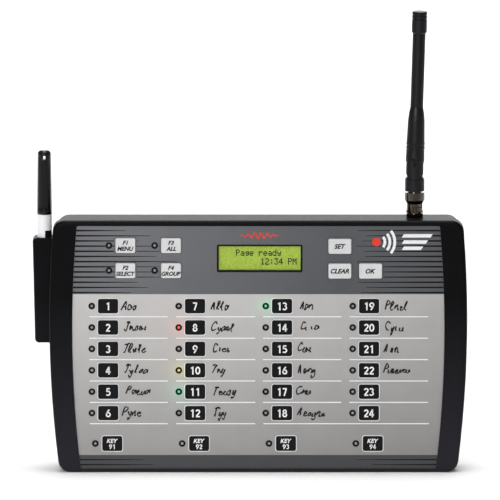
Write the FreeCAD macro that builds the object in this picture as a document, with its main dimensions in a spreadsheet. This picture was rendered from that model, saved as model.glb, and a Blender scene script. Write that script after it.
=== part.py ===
import FreeCAD, Part
import math
import os
import Sketcher
from FreeCAD import Placement, Rotation, Vector

# A restaurant paging console: a shallow two-shell case that stands on its bottom edge, with a
# printed face of 35 keys, 32 status lights and a display, a tilting whip antenna on a bayonet
# connector on top, and a marker pen in a holder on its left side.
#
# The frame: +X to the viewer's right, +Y from the face to the back, +Z up. The origin is in the
# middle of the bottom face. A sketch on the XZ plane looks out of the face, so its offset is a
# distance in front of the middle of the case, its pads grow towards the face and its pockets
# cut towards the back.

DRIVING_SIZES = {
    # case
    "case_depth": 35.0,
    "front_depth": 14.0,
    "case_height": 186.5,
    "half_width": 152.6,
    "widest_height": 111.3,
    "side_radius": 857.0,
    "corner_radius": 9.0,
    "front_round": 2.6,
    "back_round": 4.0,
    "side_wall": 5.5,
    "wall": 2.5,
    "rear_side_inset": 3.0,
    "rear_top_inset": 0.3,
    "lip_depth": 2.0,
    "lip_wall": 1.4,
    "lip_gap": 0.15,
    # recess of the printed face
    "recess_half_width": 135.95,
    "recess_widest": 105.0,
    "recess_side_radius": 880.0,
    "recess_bottom": 2.6,
    "recess_top": 182.8,
    "recess_corner": 1.5,
    "recess_depth": 1.6,
    "overlay_thickness": 0.5,
    "overlay_gap": 0.1,
    # keys
    "column_first": -109.65,
    "column_pitch": 63.5,
    "row_first": 123.4,
    "row_pitch": 15.875,
    "number_width": 14.2,
    "number_height": 10.2,
    "manager_shift": 2.9,
    "manager_row": 21.4,
    "manager_width": 14.1,
    "manager_height": 10.6,
    "page_width": 14.5,
    "page_height": 11.0,
    "page_column_left": -96.9,
    "page_column_right": -63.6,
    "page_row_top": 168.2,
    "page_row_bottom": 149.7,
    "set_width": 16.8,
    "set_height": 11.1,
    "set_column_left": 59.5,
    "set_column_right": 81.9,
    "set_row_top": 167.7,
    "set_row_bottom": 149.4,
    "key_corner": 1.2,
    "key_edge_round": 0.6,
    "key_gap": 0.25,
    "key_proud": 1.0,
    "key_flange": 0.9,
    "flange_thickness": 1.0,
    "flange_gap": 0.1,
    "stem_width": 5.0,
    "stem_length": 1.3,
    # status lights
    "number_light_shift": 11.9,
    "manager_light_shift": 12.4,
    "page_light_shift": 12.0,
    "light_radius": 1.45,
    "light_flange": 1.7,
    "light_flange_height": 1.0,
    "light_height": 8.0,
    "light_nose": 0.75,
    "light_nose_radius": 1.25,
    "light_nose_upper": 0.3,
    "light_tip_radius": 0.75,
    "light_hole": 1.75,
    "overlay_light_hole": 2.2,
    # display
    "display_x": 1.0,
    "display_height": 158.7,
    "window_width": 62.0,
    "window_tall": 20.0,
    "view_width": 59.6,
    "view_tall": 17.8,
    "module_margin": 5.0,
    "module_depth": 5.2,
    "module_sheet": 0.6,
    "glass_margin": 3.0,
    "glass_depth": 2.8,
    # circuit board and key mat
    "board_half_width": 125.4,
    "board_bottom": 9.0,
    "board_top": 177.5,
    "board_thickness": 1.6,
    "board_front": 8.0,
    "mat_thickness": 1.0,
    "mat_inset": 1.0,
    "dome_radius": 3.6,
    "dome_height": 1.0,
    "mat_light_hole": 2.2,
    "post_left": -80.0,
    "post_right": 112.0,
    "post_low": 30.0,
    "post_high": 136.5,
    "post_radius": 3.0,
    "post_pilot": 1.0,
    "board_screw_radius": 1.2,
    "board_screw_length": 6.5,
    "board_screw_head": 2.4,
    "board_screw_head_height": 1.5,
    # radio module
    "radio_left": 90.0,
    "radio_right": 124.0,
    "radio_bottom": 141.0,
    "radio_top": 170.0,
    "radio_depth": 13.0,
    # case screws
    "screw_x": 131.0,
    "screw_low": 14.0,
    "screw_high": 171.0,
    "boss_radius": 4.4,
    "screw_radius": 1.5,
    "screw_hole": 1.7,
    "screw_head": 2.9,
    "screw_head_height": 2.2,
    "counterbore": 3.4,
    "counterbore_depth": 6.0,
    "screw_reach": 8.0,
    # back: feet, keyholes, power inlet
    "foot_x": 118.0,
    "foot_low": 18.0,
    "foot_high": 166.0,
    "foot_radius": 6.0,
    "foot_tread_radius": 5.2,
    "foot_height": 1.8,
    "keyhole_x": 76.2,
    "keyhole_height": 140.0,
    "keyhole_radius": 4.5,
    "keyhole_slot": 2.1,
    "keyhole_rise": 8.0,
    "inlet_x": -96.0,
    "inlet_height": 32.0,
    "inlet_width": 9.0,
    "inlet_tall": 11.0,
    "inlet_depth": 14.0,
    "inlet_bore": 2.85,
    "inlet_bore_depth": 9.5,
    "inlet_pin": 1.05,
    "inlet_pin_recess": 1.0,
    # antenna
    "antenna_x": 114.2,
    "antenna_y": 4.0,
    "jack_radius": 4.8,
    "jack_length": 12.5,
    "jack_bore": 4.1,
    "jack_bore_depth": 10.0,
    "jack_core": 2.4,
    "jack_core_recess": 2.0,
    "jack_contact": 0.75,
    "jack_contact_depth": 5.0,
    "jack_back": 7.0,
    "jack_flange": 6.4,
    "jack_flange_height": 1.6,
    "jack_relief": 7.0,
    "jack_tail": 0.8,
    "lug_radius": 1.0,
    "lug_reach": 5.5,
    "lug_height": 8.6,
    "nut_radius": 6.95,
    "nut_height": 2.7,
    "ring_bottom": 3.3,
    "ring_rim": 6.3,
    "ring_rim_top": 4.8,
    "ring_sleeve": 5.8,
    "ring_flare_start": 9.9,
    "ring_flare_end": 12.6,
    "ring_grip": 7.25,
    "ring_top": 18.2,
    "ring_bore": 5.0,
    "ring_shoulder": 12.9,
    "ring_throat": 4.85,
    "ring_turn": 90.0,
    "slot_clearance": 0.25,
    "lug_half_angle": 15.0,
    "plug_radius": 4.7,
    "plug_foot": 12.65,
    "plug_flange": 4.95,
    "plug_flange_height": 0.2,
    "plug_sleeve": 4.03,
    "plug_sleeve_bore": 3.0,
    "plug_sleeve_length": 8.0,
    "plug_contact": 0.65,
    "plug_contact_length": 6.0,
    "knuckle_bottom": 19.3,
    "knuckle_radius": 7.1,
    "knuckle_shoulder": 31.4,
    "pivot_height": 34.6,
    "tongue_thickness": 4.8,
    "tongue_radius": 5.0,
    "tongue_root": 28.0,
    "fork_gap": 0.25,
    "fork_depth": 6.2,
    "ear_radius": 6.8,
    "pin_radius": 1.5,
    "pin_length": 12.4,
    "pin_clearance": 0.05,
    "whip_rib_low": 16.6,
    "whip_rib_high": 19.7,
    "whip_rib_radius": 6.85,
    "whip_neck_radius": 6.6,
    "whip_rib_half": 0.35,
    "whip_body_top": 28.4,
    "whip_body_top_radius": 6.35,
    "whip_shoulder_low": 36.5,
    "whip_shoulder_low_radius": 6.1,
    "whip_shoulder_high": 41.8,
    "whip_shoulder_high_radius": 5.6,
    "whip_flare_top": 46.5,
    "whip_radius": 4.7,
    "whip_cap_bottom": 101.8,
    "whip_cap_radius": 5.55,
    "whip_top": 117.0,
    "whip_cap_chamfer": 1.0,
    "whip_groove_low": 111.7,
    "whip_groove_high": 114.5,
    "whip_groove_half": 0.5,
    "whip_groove_depth": 0.45,
    "whip_lean": 1.7,
    "recess_bar_width": 8.7,
    "recess_bar_height": 1.5,
    "recess_stem_width": 2.6,
    "recess_stem_height": 6.0,
    "recess_bar_top": 9.3,
    "recess_cut": 2.0,
    "saddle_clearance": 0.2,
    # marker and its holder
    "marker_x": -156.2,
    "marker_y": 4.3,
    "holder_left_top": 164.9,
    "holder_left_bottom": 163.3,
    "holder_bottom": 94.0,
    "holder_top": 171.5,
    "holder_depth": 14.7,
    "holder_corner": 3.0,
    "holder_bore": 5.75,
    "holder_floor": 3.0,
    "marker_radius": 5.35,
    "marker_end_radius": 5.05,
    "marker_gap": 0.3,
    "marker_neck": 4.5,
    "cap_bottom": 188.2,
    "cap_top": 235.3,
    "cap_radius": 5.45,
    "cap_top_radius": 4.85,
    "cap_shoulder_height": 1.2,
    "cap_edge_radius": 4.35,
    "cap_edge_height": 0.3,
    "cap_crown_radius": 3.2,
    "cap_bore": 4.6,
    "cap_bore_length": 24.0,
    "cap_tip_bore": 3.2,
    "cap_tip_bore_length": 34.0,
    "cap_slot_width": 1.8,
    "cap_slot_height": 3.3,
    "cap_slot_below": 5.2,
    "cap_slot_corner": 0.88,
    "neck_length": 14.0,
    "nose_length": 9.0,
    "nose_radius": 2.2,
    "nib_radius": 1.2,
    "nib_length": 6.0,
    "nib_root": 4.0,
    "nib_point_radius": 0.7,
    "nib_point_length": 0.5,
}


class Size:
    """A size known twice: as a number, and as the sheet expression that gives the number."""

    def __init__(self, value, text=None):
        self.value = value
        self.text = text if text else repr(float(value))

    def __add__(self, other):
        other = as_size(other)
        return Size(self.value + other.value, f"({self.text} + {other.text})")

    def __sub__(self, other):
        other = as_size(other)
        return Size(self.value - other.value, f"({self.text} - {other.text})")

    def __mul__(self, factor):
        factor = as_size(factor)
        return Size(self.value * factor.value, f"({self.text} * {factor.text})")

    def __truediv__(self, divisor):
        divisor = as_size(divisor)
        return Size(self.value / divisor.value, f"({self.text} / {divisor.text})")

    def __neg__(self):
        return Size(-self.value, f"(0 - {self.text})")


def as_size(number):
    return number if isinstance(number, Size) else Size(number)


class Sheet:
    """The spreadsheet's driving sizes, each read as an attribute."""

    def __init__(self, document, values):
        self.cells = document.addObject("Spreadsheet::Sheet", "Sizes")
        for row, (alias, value) in enumerate(values.items(), start=1):
            self.cells.set(f"A{row}", alias.replace("_", " "))
            self.cells.set(f"B{row}", str(value))
            self.cells.setAlias(f"B{row}", alias)
            setattr(self, alias, Size(value, f"<<Sizes>>.{alias}"))
        document.recompute()


doc = FreeCAD.newDocument("PagingConsole")
dim = Sheet(doc, DRIVING_SIZES)
ZERO = Size(0.0)


# --- helpers -------------------------------------------------------------------------------------

def bind(item, **properties):
    """Bind properties of an object to sizes, such as Length=dim.wall."""
    for name, size in properties.items():
        size = as_size(size)
        setattr(item, name, size.value)
        item.setExpression(name, size.text)
    return item


def place(item, x=ZERO, y=ZERO, z=ZERO):
    """Bind the place of a sub-part."""
    for letter, size in (("x", x), ("y", y), ("z", z)):
        item.setExpression(f"Placement.Base.{letter}", size.text)
    return item


def new_body(label):
    body = doc.addObject("PartDesign::Body", label)
    body.Label = label
    return body


def new_sketch(body, role, offset=ZERO):
    """A sketch on one of the body's origin planes, moved along the plane's normal."""
    plane = [feature for feature in body.Origin.OriginFeatures if feature.Role == role][0]
    sketch = body.newObject("Sketcher::SketchObject", body.Label + "_sketch")
    sketch.AttachmentSupport = (plane, [""])
    sketch.MapMode = "FlatFace"
    sketch.AttachmentOffset = Placement(Vector(0, 0, offset.value), Rotation())
    sketch.setExpression("AttachmentOffset.Base.z", offset.text)
    return sketch


def fix(sketch, kind, first, first_point, second, second_point, size):
    """Add a dimension between two points and bind it."""
    index = sketch.addConstraint(
        Sketcher.Constraint(kind, first, first_point, second, second_point, size.value))
    sketch.setExpression(f"Constraints[{index}]", size.text)


def fix_radius(sketch, curve, size):
    index = sketch.addConstraint(Sketcher.Constraint("Radius", curve, size.value))
    sketch.setExpression(f"Constraints[{index}]", size.text)


def fix_point(sketch, curve, point, across, up):
    """Place one point of a sketch curve from the sketch's origin."""
    horizontal_axis, vertical_axis = -1, -2
    if across.value == 0:
        sketch.addConstraint(Sketcher.Constraint("PointOnObject", curve, point, vertical_axis))
    else:
        fix(sketch, "DistanceX", -1, 1, curve, point, across)
    if up.value == 0:
        sketch.addConstraint(Sketcher.Constraint("PointOnObject", curve, point, horizontal_axis))
    else:
        fix(sketch, "DistanceY", -1, 1, curve, point, up)


def polygon(sketch, corners):
    """A closed outline of straight lines through the corners, each an (across, up) pair."""
    corners = [(as_size(across), as_size(up)) for across, up in corners]
    points = [Vector(across.value, up.value, 0) for across, up in corners]
    first = sketch.GeometryCount
    for index, point in enumerate(points):
        following = points[(index + 1) % len(points)]
        sketch.addGeometry(Part.LineSegment(point, following))
    for index, (across, up) in enumerate(corners):
        before = first + (index - 1) % len(corners)
        sketch.addConstraint(Sketcher.Constraint("Coincident", before, 2, first + index, 1))
        fix_point(sketch, first + index, 1, across, up)


def circle(sketch, across, up, radius):
    index = sketch.addGeometry(
        Part.Circle(Vector(across.value, up.value, 0), Vector(0, 0, 1), radius.value))
    fix_radius(sketch, index, radius)
    fix_point(sketch, index, 3, across, up)


def rectangle(sketch, across, up, width, height):
    """A rectangle about its centre."""
    left, right = across - width / 2, across + width / 2
    low, high = up - height / 2, up + height / 2
    polygon(sketch, [(left, low), (right, low), (right, high), (left, high)])


def corner_arc(centre, radius, start_degrees):
    """A quarter or shorter arc, given roughly: the constraints settle its ends."""
    start = math.radians(start_degrees)
    round_edge = Part.Circle(Vector(centre[0], centre[1], 0), Vector(0, 0, 1), radius)
    return Part.ArcOfCircle(round_edge, start, start + math.pi / 2)


def rounded_rectangle(sketch, across, up, width, height, corner):
    """A rectangle about its centre with four equal round corners."""
    reach_x = width / 2 - corner
    reach_y = height / 2 - corner
    first = sketch.GeometryCount
    signs = [(1, -1), (1, 1), (-1, 1), (-1, -1)]
    centres = [(across + reach_x * sx, up + reach_y * sy) for sx, sy in signs]
    for turn, (cx, cy) in enumerate(centres):
        sketch.addGeometry(
            corner_arc((cx.value, cy.value), corner.value, 90 * (turn - 1)))
    for turn in range(4):
        end = sketch.getPoint(first + turn, 2)
        start = sketch.getPoint(first + (turn + 1) % 4, 1)
        sketch.addGeometry(Part.LineSegment(end, start))
    for turn, (cx, cy) in enumerate(centres):
        arc, line = first + turn, first + 4 + turn
        following = first + (turn + 1) % 4
        sketch.addConstraint(Sketcher.Constraint("Tangent", arc, 2, line, 1))
        sketch.addConstraint(Sketcher.Constraint("Tangent", line, 2, following, 1))
        fix_point(sketch, arc, 3, cx, cy)
        fix_radius(sketch, arc, corner)


def barrel(sketch, half_width, widest, side_radius, low, high, corner):
    """The case's outline: flat top and bottom, bowed sides and round corners."""
    def side_reach(height, inset):
        rise = height.value - widest.value
        chord = math.sqrt((side_radius.value - inset) ** 2 - rise ** 2)
        return half_width.value - side_radius.value + chord

    bow = side_radius - half_width
    round_by = corner.value
    ends = []
    for height, inward in ((low, corner), (high, -corner)):
        centre_height = height + inward
        ends.append((side_reach(centre_height, round_by), centre_height))
    (low_reach, low_centre), (high_reach, high_centre) = ends
    low_rise = low_centre.value - widest.value
    high_rise = high_centre.value - widest.value
    inner = side_radius.value - round_by
    low_turn = math.asin(low_rise / inner)
    high_turn = math.asin(high_rise / inner)
    up = Vector(0, 0, 1)
    first = sketch.GeometryCount

    def arc(x, z, radius, start, end):
        sketch.addGeometry(Part.ArcOfCircle(Part.Circle(Vector(x, z, 0), up, radius), start, end))

    quarter = math.pi / 2
    half = math.pi
    arc(low_reach, low_centre.value, round_by, -quarter, low_turn)
    arc(-bow.value, widest.value, side_radius.value, low_turn, high_turn)
    arc(high_reach, high_centre.value, round_by, high_turn, quarter)
    sketch.addGeometry(Part.LineSegment(
        Vector(high_reach, high.value, 0), Vector(-high_reach, high.value, 0)))
    arc(-high_reach, high_centre.value, round_by, quarter, half - high_turn)
    arc(bow.value, widest.value, side_radius.value, half - high_turn, half - low_turn)
    arc(-low_reach, low_centre.value, round_by, half - low_turn, half + quarter)
    sketch.addGeometry(Part.LineSegment(
        Vector(-low_reach, low.value, 0), Vector(low_reach, low.value, 0)))
    count = 8
    for index in range(count):
        following = first + (index + 1) % count
        sketch.addConstraint(Sketcher.Constraint("Tangent", first + index, 2, following, 1))
    for index in (0, 2, 4, 6):
        fix_radius(sketch, first + index, corner)
    for index, side in ((1, -1), (5, 1)):
        fix_radius(sketch, first + index, side_radius)
        fix_point(sketch, first + index, 3, bow * side, widest)
    sketch.addConstraint(Sketcher.Constraint("Horizontal", first + 3))
    sketch.addConstraint(Sketcher.Constraint("Horizontal", first + 7))
    fix(sketch, "DistanceY", -1, 1, first + 3, 1, high)
    if low.value == 0:
        sketch.addConstraint(Sketcher.Constraint("PointOnObject", first + 7, 1, -1))
    else:
        fix(sketch, "DistanceY", -1, 1, first + 7, 1, low)


def pad(body, sketch, length):
    feature = body.newObject("PartDesign::Pad", body.Label + "_pad")
    feature.Profile = sketch
    return bind(feature, Length=length)


def pocket(body, sketch, length, reversed_cut=False):
    """Cut away from the sketch's normal, or along it when reversed."""
    feature = body.newObject("PartDesign::Pocket", body.Label + "_pocket")
    feature.Profile = sketch
    feature.Reversed = reversed_cut
    return bind(feature, Length=length)


def revolve(body, sketch):
    """Turn a half outline once round the sketch's vertical axis."""
    feature = body.newObject("PartDesign::Revolution", body.Label + "_revolution")
    feature.Profile = sketch
    feature.ReferenceAxis = (sketch, ["V_Axis"])
    feature.Angle = 360
    return feature


def groove(body, sketch):
    feature = body.newObject("PartDesign::Groove", body.Label + "_groove")
    feature.Profile = sketch
    feature.ReferenceAxis = (sketch, ["V_Axis"])
    feature.Angle = 360
    return feature


def turned_body(label, profile):
    """A body of revolution about its own Z axis from (radius, height) corners."""
    body = new_body(label)
    sketch = new_sketch(body, "XZ_Plane")
    polygon(sketch, profile)
    revolve(body, sketch)
    return body


def repeat_grid(body, feature, sketch, columns, column_pitch, rows=1, row_pitch=None):
    """Repeat a feature to the right and downwards."""
    pattern = body.newObject("PartDesign::MultiTransform", body.Label + "_grid")
    pattern.Originals = [feature]
    across = doc.addObject("PartDesign::LinearPattern", body.Label + "_across")
    across.Direction = (sketch, ["H_Axis"])
    across.Occurrences = columns
    bind(across, Length=column_pitch * (columns - 1))
    steps = [across]
    if rows > 1:
        down = doc.addObject("PartDesign::LinearPattern", body.Label + "_down")
        down.Direction = (sketch, ["V_Axis"])
        down.Reversed = True
        down.Occurrences = rows
        bind(down, Length=row_pitch * (rows - 1))
        steps.append(down)
    pattern.Transformations = steps
    body.Tip = pattern
    return pattern


def round_edges(body, radius, wanted):
    """Fillet the edges of the body's last feature that the test picks out."""
    doc.recompute()
    base = body.Tip
    names = [f"Edge{number}" for number, edge in enumerate(base.Shape.Edges, start=1)
             if wanted(edge)]
    feature = body.newObject("PartDesign::Fillet", body.Label + "_fillet")
    feature.Base = (base, names)
    return bind(feature, Radius=radius)


def in_plane(edge, axis, value, tolerance=0.01):
    """True for an edge that lies at one coordinate."""
    box = edge.BoundBox
    low, high = getattr(box, axis + "Min"), getattr(box, axis + "Max")
    return abs(low - value) < tolerance and abs(high - value) < tolerance


def copies(label, master, places):
    """Identical solids at several places, as one sub-part."""
    doc.recompute()
    item = doc.addObject("Part::Feature", label)
    item.Label = label
    item.Shape = Part.makeCompound([
        master.Shape.translated(Vector(x.value, y.value, z.value)) for x, y, z in places])
    return item


# --- places that several sub-parts share ---------------------------------------------------------

FRONT = dim.case_depth / 2
BACK = -FRONT
PARTING = FRONT - dim.front_depth
RECESS_FLOOR = FRONT - dim.recess_depth
OVERLAY_FRONT = RECESS_FLOOR + dim.overlay_thickness
WALL_BACK = RECESS_FLOOR - dim.wall
CAVITY_HALF = dim.half_width - dim.side_wall
CAVITY_RADIUS = dim.side_radius - dim.side_wall
CAVITY_CORNER = dim.corner_radius - dim.wall
REAR_TOP = dim.case_height - dim.rear_top_inset
CAVITY_TOP = REAR_TOP - dim.wall
BOARD_BACK = dim.board_front - dim.board_thickness

NUMBER_COLUMNS = [dim.column_first + dim.column_pitch * column for column in range(4)]
NUMBER_ROWS = [dim.row_first - dim.row_pitch * row for row in range(6)]
NUMBER_PLACES = [(x, z) for x in NUMBER_COLUMNS for z in NUMBER_ROWS]
MANAGER_PLACES = [(x + dim.manager_shift, dim.manager_row) for x in NUMBER_COLUMNS]
PAGE_PLACES = {
    "key_menu": (dim.page_column_left, dim.page_row_top),
    "key_select": (dim.page_column_left, dim.page_row_bottom),
    "key_all_page": (dim.page_column_right, dim.page_row_top),
    "key_all_managers": (dim.page_column_right, dim.page_row_bottom),
}
SET_PLACES = {
    "key_setup": (dim.set_column_left, dim.set_row_top),
    "key_cancel": (dim.set_column_left, dim.set_row_bottom),
    "key_enter": (dim.set_column_right, dim.set_row_bottom),
}
LIGHT_PLACES = [(x - dim.number_light_shift, z) for x, z in NUMBER_PLACES]
LIGHT_PLACES += [(x - dim.manager_light_shift, z) for x, z in MANAGER_PLACES]
LIGHT_PLACES += [(x - dim.page_light_shift, z) for x, z in PAGE_PLACES.values()]

SCREW_PLACES = [(dim.screw_x * side, z)
                for side in (-1, 1) for z in (dim.screw_low, dim.screw_high)]
POST_PLACES = [(x, z) for x in (dim.post_left, dim.post_right)
               for z in (dim.post_low, dim.post_high)]
FOOT_PLACES = [(dim.foot_x * side, z)
               for side in (-1, 1) for z in (dim.foot_low, dim.foot_high)]
KEYHOLE_PLACES = [(dim.keyhole_x * side, dim.keyhole_height) for side in (-1, 1)]


# --- case ----------------------------------------------------------------------------------------

def cut_openings(body, level, depth, light_radius, window_width, window_tall):
    """Cut every key, light and display opening through one layer of the face."""
    gap = dim.key_gap * 2

    def grid(columns, rows, draw):
        sketch = new_sketch(body, "XZ_Plane", level)
        draw(sketch)
        cut = pocket(body, sketch, depth)
        repeat_grid(body, cut, sketch, columns, dim.column_pitch, rows, dim.row_pitch)

    first_x, first_z = NUMBER_PLACES[0]
    manager_x, manager_z = MANAGER_PLACES[0]
    grid(4, 6, lambda sketch: rounded_rectangle(
        sketch, first_x, first_z, dim.number_width + gap, dim.number_height + gap,
        dim.key_corner + dim.key_gap))
    grid(4, 1, lambda sketch: rounded_rectangle(
        sketch, manager_x, manager_z, dim.manager_width + gap, dim.manager_height + gap,
        dim.key_corner + dim.key_gap))
    grid(4, 6, lambda sketch: circle(
        sketch, first_x - dim.number_light_shift, first_z, light_radius))
    grid(4, 1, lambda sketch: circle(
        sketch, manager_x - dim.manager_light_shift, manager_z, light_radius))
    rest = new_sketch(body, "XZ_Plane", level)
    for x, z in PAGE_PLACES.values():
        rounded_rectangle(rest, x, z, dim.page_width + gap, dim.page_height + gap,
                          dim.key_corner + dim.key_gap)
        circle(rest, x - dim.page_light_shift, z, light_radius)
    for x, z in SET_PLACES.values():
        rounded_rectangle(rest, x, z, dim.set_width + gap, dim.set_height + gap,
                          dim.key_corner + dim.key_gap)
    rectangle(rest, dim.display_x, dim.display_height, window_width, window_tall)
    pocket(body, rest, depth)


def make_front_shell():
    body = new_body("front_shell")
    outline = new_sketch(body, "XZ_Plane", PARTING)
    barrel(outline, dim.half_width, dim.widest_height, dim.side_radius, ZERO,
           dim.case_height, dim.corner_radius)
    pad(body, outline, dim.front_depth)
    round_edges(body, dim.front_round, lambda edge: in_plane(edge, "Y", -FRONT.value))
    recess = new_sketch(body, "XZ_Plane", FRONT)
    barrel(recess, dim.recess_half_width, dim.recess_widest, dim.recess_side_radius,
           dim.recess_bottom, dim.recess_top, dim.recess_corner)
    pocket(body, recess, dim.recess_depth)
    cavity = new_sketch(body, "XZ_Plane", PARTING)
    barrel(cavity, CAVITY_HALF, dim.widest_height, CAVITY_RADIUS, dim.wall,
           CAVITY_TOP, CAVITY_CORNER)
    pocket(body, cavity, WALL_BACK - PARTING, reversed_cut=True)
    cut_openings(body, RECESS_FLOOR, dim.wall, dim.light_hole,
                 dim.view_width, dim.view_tall)
    bosses = new_sketch(body, "XZ_Plane", PARTING)
    for x, z in SCREW_PLACES:
        circle(bosses, x, z, dim.boss_radius)
        circle(bosses, x, z, dim.screw_radius)
    pad(body, bosses, WALL_BACK - PARTING)
    posts = new_sketch(body, "XZ_Plane", dim.board_front)
    for x, z in POST_PLACES:
        circle(posts, x, z, dim.post_radius)
        circle(posts, x, z, dim.post_pilot)
    pad(body, posts, WALL_BACK - dim.board_front)
    return body


def make_rear_shell():
    body = new_body("rear_shell")
    rear_half = dim.half_width - dim.rear_side_inset
    rear_radius = dim.side_radius - dim.rear_side_inset
    depth = dim.case_depth - dim.front_depth
    outline = new_sketch(body, "XZ_Plane", BACK)
    barrel(outline, rear_half, dim.widest_height, rear_radius, ZERO, REAR_TOP,
           dim.corner_radius)
    pad(body, outline, depth)
    round_edges(body, dim.back_round, lambda edge: in_plane(edge, "Y", -BACK.value))
    cavity = new_sketch(body, "XZ_Plane", PARTING)
    barrel(cavity, CAVITY_HALF, dim.widest_height, CAVITY_RADIUS, dim.wall,
           CAVITY_TOP, CAVITY_CORNER)
    pocket(body, cavity, depth - dim.wall)
    add_lip(body)
    add_screw_columns(body)
    cut_back_openings(body)
    cut_jack_hole(body)
    return body


def add_lip(body):
    """A thin tongue round the parting line that locates the rear shell in the front one."""
    lip = new_sketch(body, "XZ_Plane", PARTING - dim.lip_depth)
    inward = dim.lip_gap
    for _ in range(2):
        barrel(lip, CAVITY_HALF - inward, dim.widest_height, CAVITY_RADIUS - inward,
               dim.wall + inward, CAVITY_TOP - inward, CAVITY_CORNER - inward)
        inward = inward + dim.lip_wall
    pad(body, lip, dim.lip_depth * 2)
    web = new_sketch(body, "XZ_Plane", PARTING - dim.lip_depth)
    barrel(web, CAVITY_HALF, dim.widest_height, CAVITY_RADIUS, dim.wall, CAVITY_TOP,
           CAVITY_CORNER)
    inner = dim.lip_gap + dim.lip_wall
    barrel(web, CAVITY_HALF - inner, dim.widest_height, CAVITY_RADIUS - inner,
           dim.wall + inner, CAVITY_TOP - inner, CAVITY_CORNER - inner)
    pad(body, web, dim.lip_depth)


def add_screw_columns(body):
    columns = new_sketch(body, "XZ_Plane", BACK + dim.wall / 2)
    for x, z in SCREW_PLACES:
        circle(columns, x, z, dim.boss_radius)
    pad(body, columns, PARTING - BACK - dim.wall / 2)
    holes = new_sketch(body, "XZ_Plane", BACK)
    for x, z in SCREW_PLACES:
        circle(holes, x, z, dim.screw_hole)
    pocket(body, holes, PARTING - BACK, reversed_cut=True)
    counterbores = new_sketch(body, "XZ_Plane", BACK)
    for x, z in SCREW_PLACES:
        circle(counterbores, x, z, dim.counterbore)
    pocket(body, counterbores, dim.counterbore_depth, reversed_cut=True)


def cut_back_openings(body):
    """Two keyholes to hang the case by, and the window of the power inlet."""
    heads = new_sketch(body, "XZ_Plane", BACK)
    for x, z in KEYHOLE_PLACES:
        circle(heads, x, z, dim.keyhole_radius)
    rectangle(heads, dim.inlet_x, dim.inlet_height, dim.inlet_width, dim.inlet_tall)
    pocket(body, heads, dim.wall, reversed_cut=True)
    slots = new_sketch(body, "XZ_Plane", BACK)
    slot_height = dim.keyhole_rise
    for x, z in KEYHOLE_PLACES:
        rectangle(slots, x, z + slot_height / 2, dim.keyhole_slot * 2, slot_height)
    pocket(body, slots, dim.wall, reversed_cut=True)
    ends = new_sketch(body, "XZ_Plane", BACK)
    for x, z in KEYHOLE_PLACES:
        circle(ends, x, z + slot_height, dim.keyhole_slot)
    pocket(body, ends, dim.wall, reversed_cut=True)


def cut_jack_hole(body):
    """The jack's hole in the top wall, and room for its flange in the locating tongue."""
    hole = new_sketch(body, "XY_Plane", REAR_TOP)
    circle(hole, dim.antenna_x, dim.antenna_y, dim.jack_radius)
    pocket(body, hole, dim.wall)
    relief = new_sketch(body, "XY_Plane", CAVITY_TOP)
    circle(relief, dim.antenna_x, dim.antenna_y, dim.jack_relief)
    pocket(body, relief, dim.lip_gap + dim.lip_wall + dim.jack_flange_height)


def make_face_overlay():
    """The printed sheet, with a gap to the recess all round."""
    body = new_body("face_overlay")
    sheet = new_sketch(body, "XZ_Plane", RECESS_FLOOR)
    gap = dim.overlay_gap
    barrel(sheet, dim.recess_half_width - gap, dim.recess_widest,
           dim.recess_side_radius - gap, dim.recess_bottom + gap, dim.recess_top - gap,
           dim.recess_corner)
    pad(body, sheet, dim.overlay_thickness)
    cut_openings(body, OVERLAY_FRONT, dim.overlay_thickness, dim.overlay_light_hole,
                 dim.window_width, dim.window_tall)
    return body


def make_screws(label, places, level, head_radius, head_height, radius, length):
    """Pan-head screws that point to the front, their heads' seats at one level."""
    master = turned_body(label + "_master", [
        (0, 0), (head_radius, 0), (head_radius, head_height), (radius, head_height),
        (radius, head_height + length), (0, head_height + length)])
    master.Placement = Placement(Vector(), Rotation(Vector(1, 0, 0), 90))
    seat = -(level - head_height)
    return copies(label, master, [(x, seat, z) for x, z in places])


def make_rubber_feet():
    foot = turned_body("rubber_foot_master", [
        (0, 0), (dim.foot_radius, 0), (dim.foot_radius, dim.foot_height / 2),
        (dim.foot_tread_radius, dim.foot_height), (0, dim.foot_height)])
    foot.Placement = Placement(Vector(), Rotation(Vector(1, 0, 0), -90))
    return copies("rubber_feet", foot, [(x, -BACK, z) for x, z in FOOT_PLACES])


# --- keys, lights and display --------------------------------------------------------------------

def make_key(label, x, z, width, height):
    """A key cap with a flange behind the face that stops it, and a stem for its dome."""
    body = new_body(label)
    flange_front = WALL_BACK - dim.flange_gap
    flange_back = flange_front - dim.flange_thickness
    flange = new_sketch(body, "XZ_Plane", flange_back)
    rectangle(flange, ZERO, ZERO, width + dim.key_flange * 2, height + dim.key_flange * 2)
    pad(body, flange, dim.flange_thickness)
    cap = new_sketch(body, "XZ_Plane", flange_front)
    rounded_rectangle(cap, ZERO, ZERO, width, height, dim.key_corner)
    top = OVERLAY_FRONT + dim.key_proud
    pad(body, cap, top - flange_front)
    round_edges(body, dim.key_edge_round, lambda edge: in_plane(edge, "Y", -top.value))
    stem = new_sketch(body, "XZ_Plane", flange_back)
    rectangle(stem, ZERO, ZERO, dim.stem_width, dim.stem_width)
    stem_pad = pad(body, stem, dim.stem_length)
    stem_pad.Reversed = True
    return place(body, x=x, z=z)


def make_keys():
    keys = []
    for number, (x, z) in enumerate(NUMBER_PLACES, start=1):
        keys.append(make_key(f"key_{number:02d}", x, z, dim.number_width, dim.number_height))
    for number, (x, z) in enumerate(MANAGER_PLACES, start=91):
        keys.append(make_key(f"key_{number}", x, z, dim.manager_width, dim.manager_height))
    for label, (x, z) in PAGE_PLACES.items():
        keys.append(make_key(label, x, z, dim.page_width, dim.page_height))
    for label, (x, z) in SET_PLACES.items():
        keys.append(make_key(label, x, z, dim.set_width, dim.set_height))
    return keys


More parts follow.
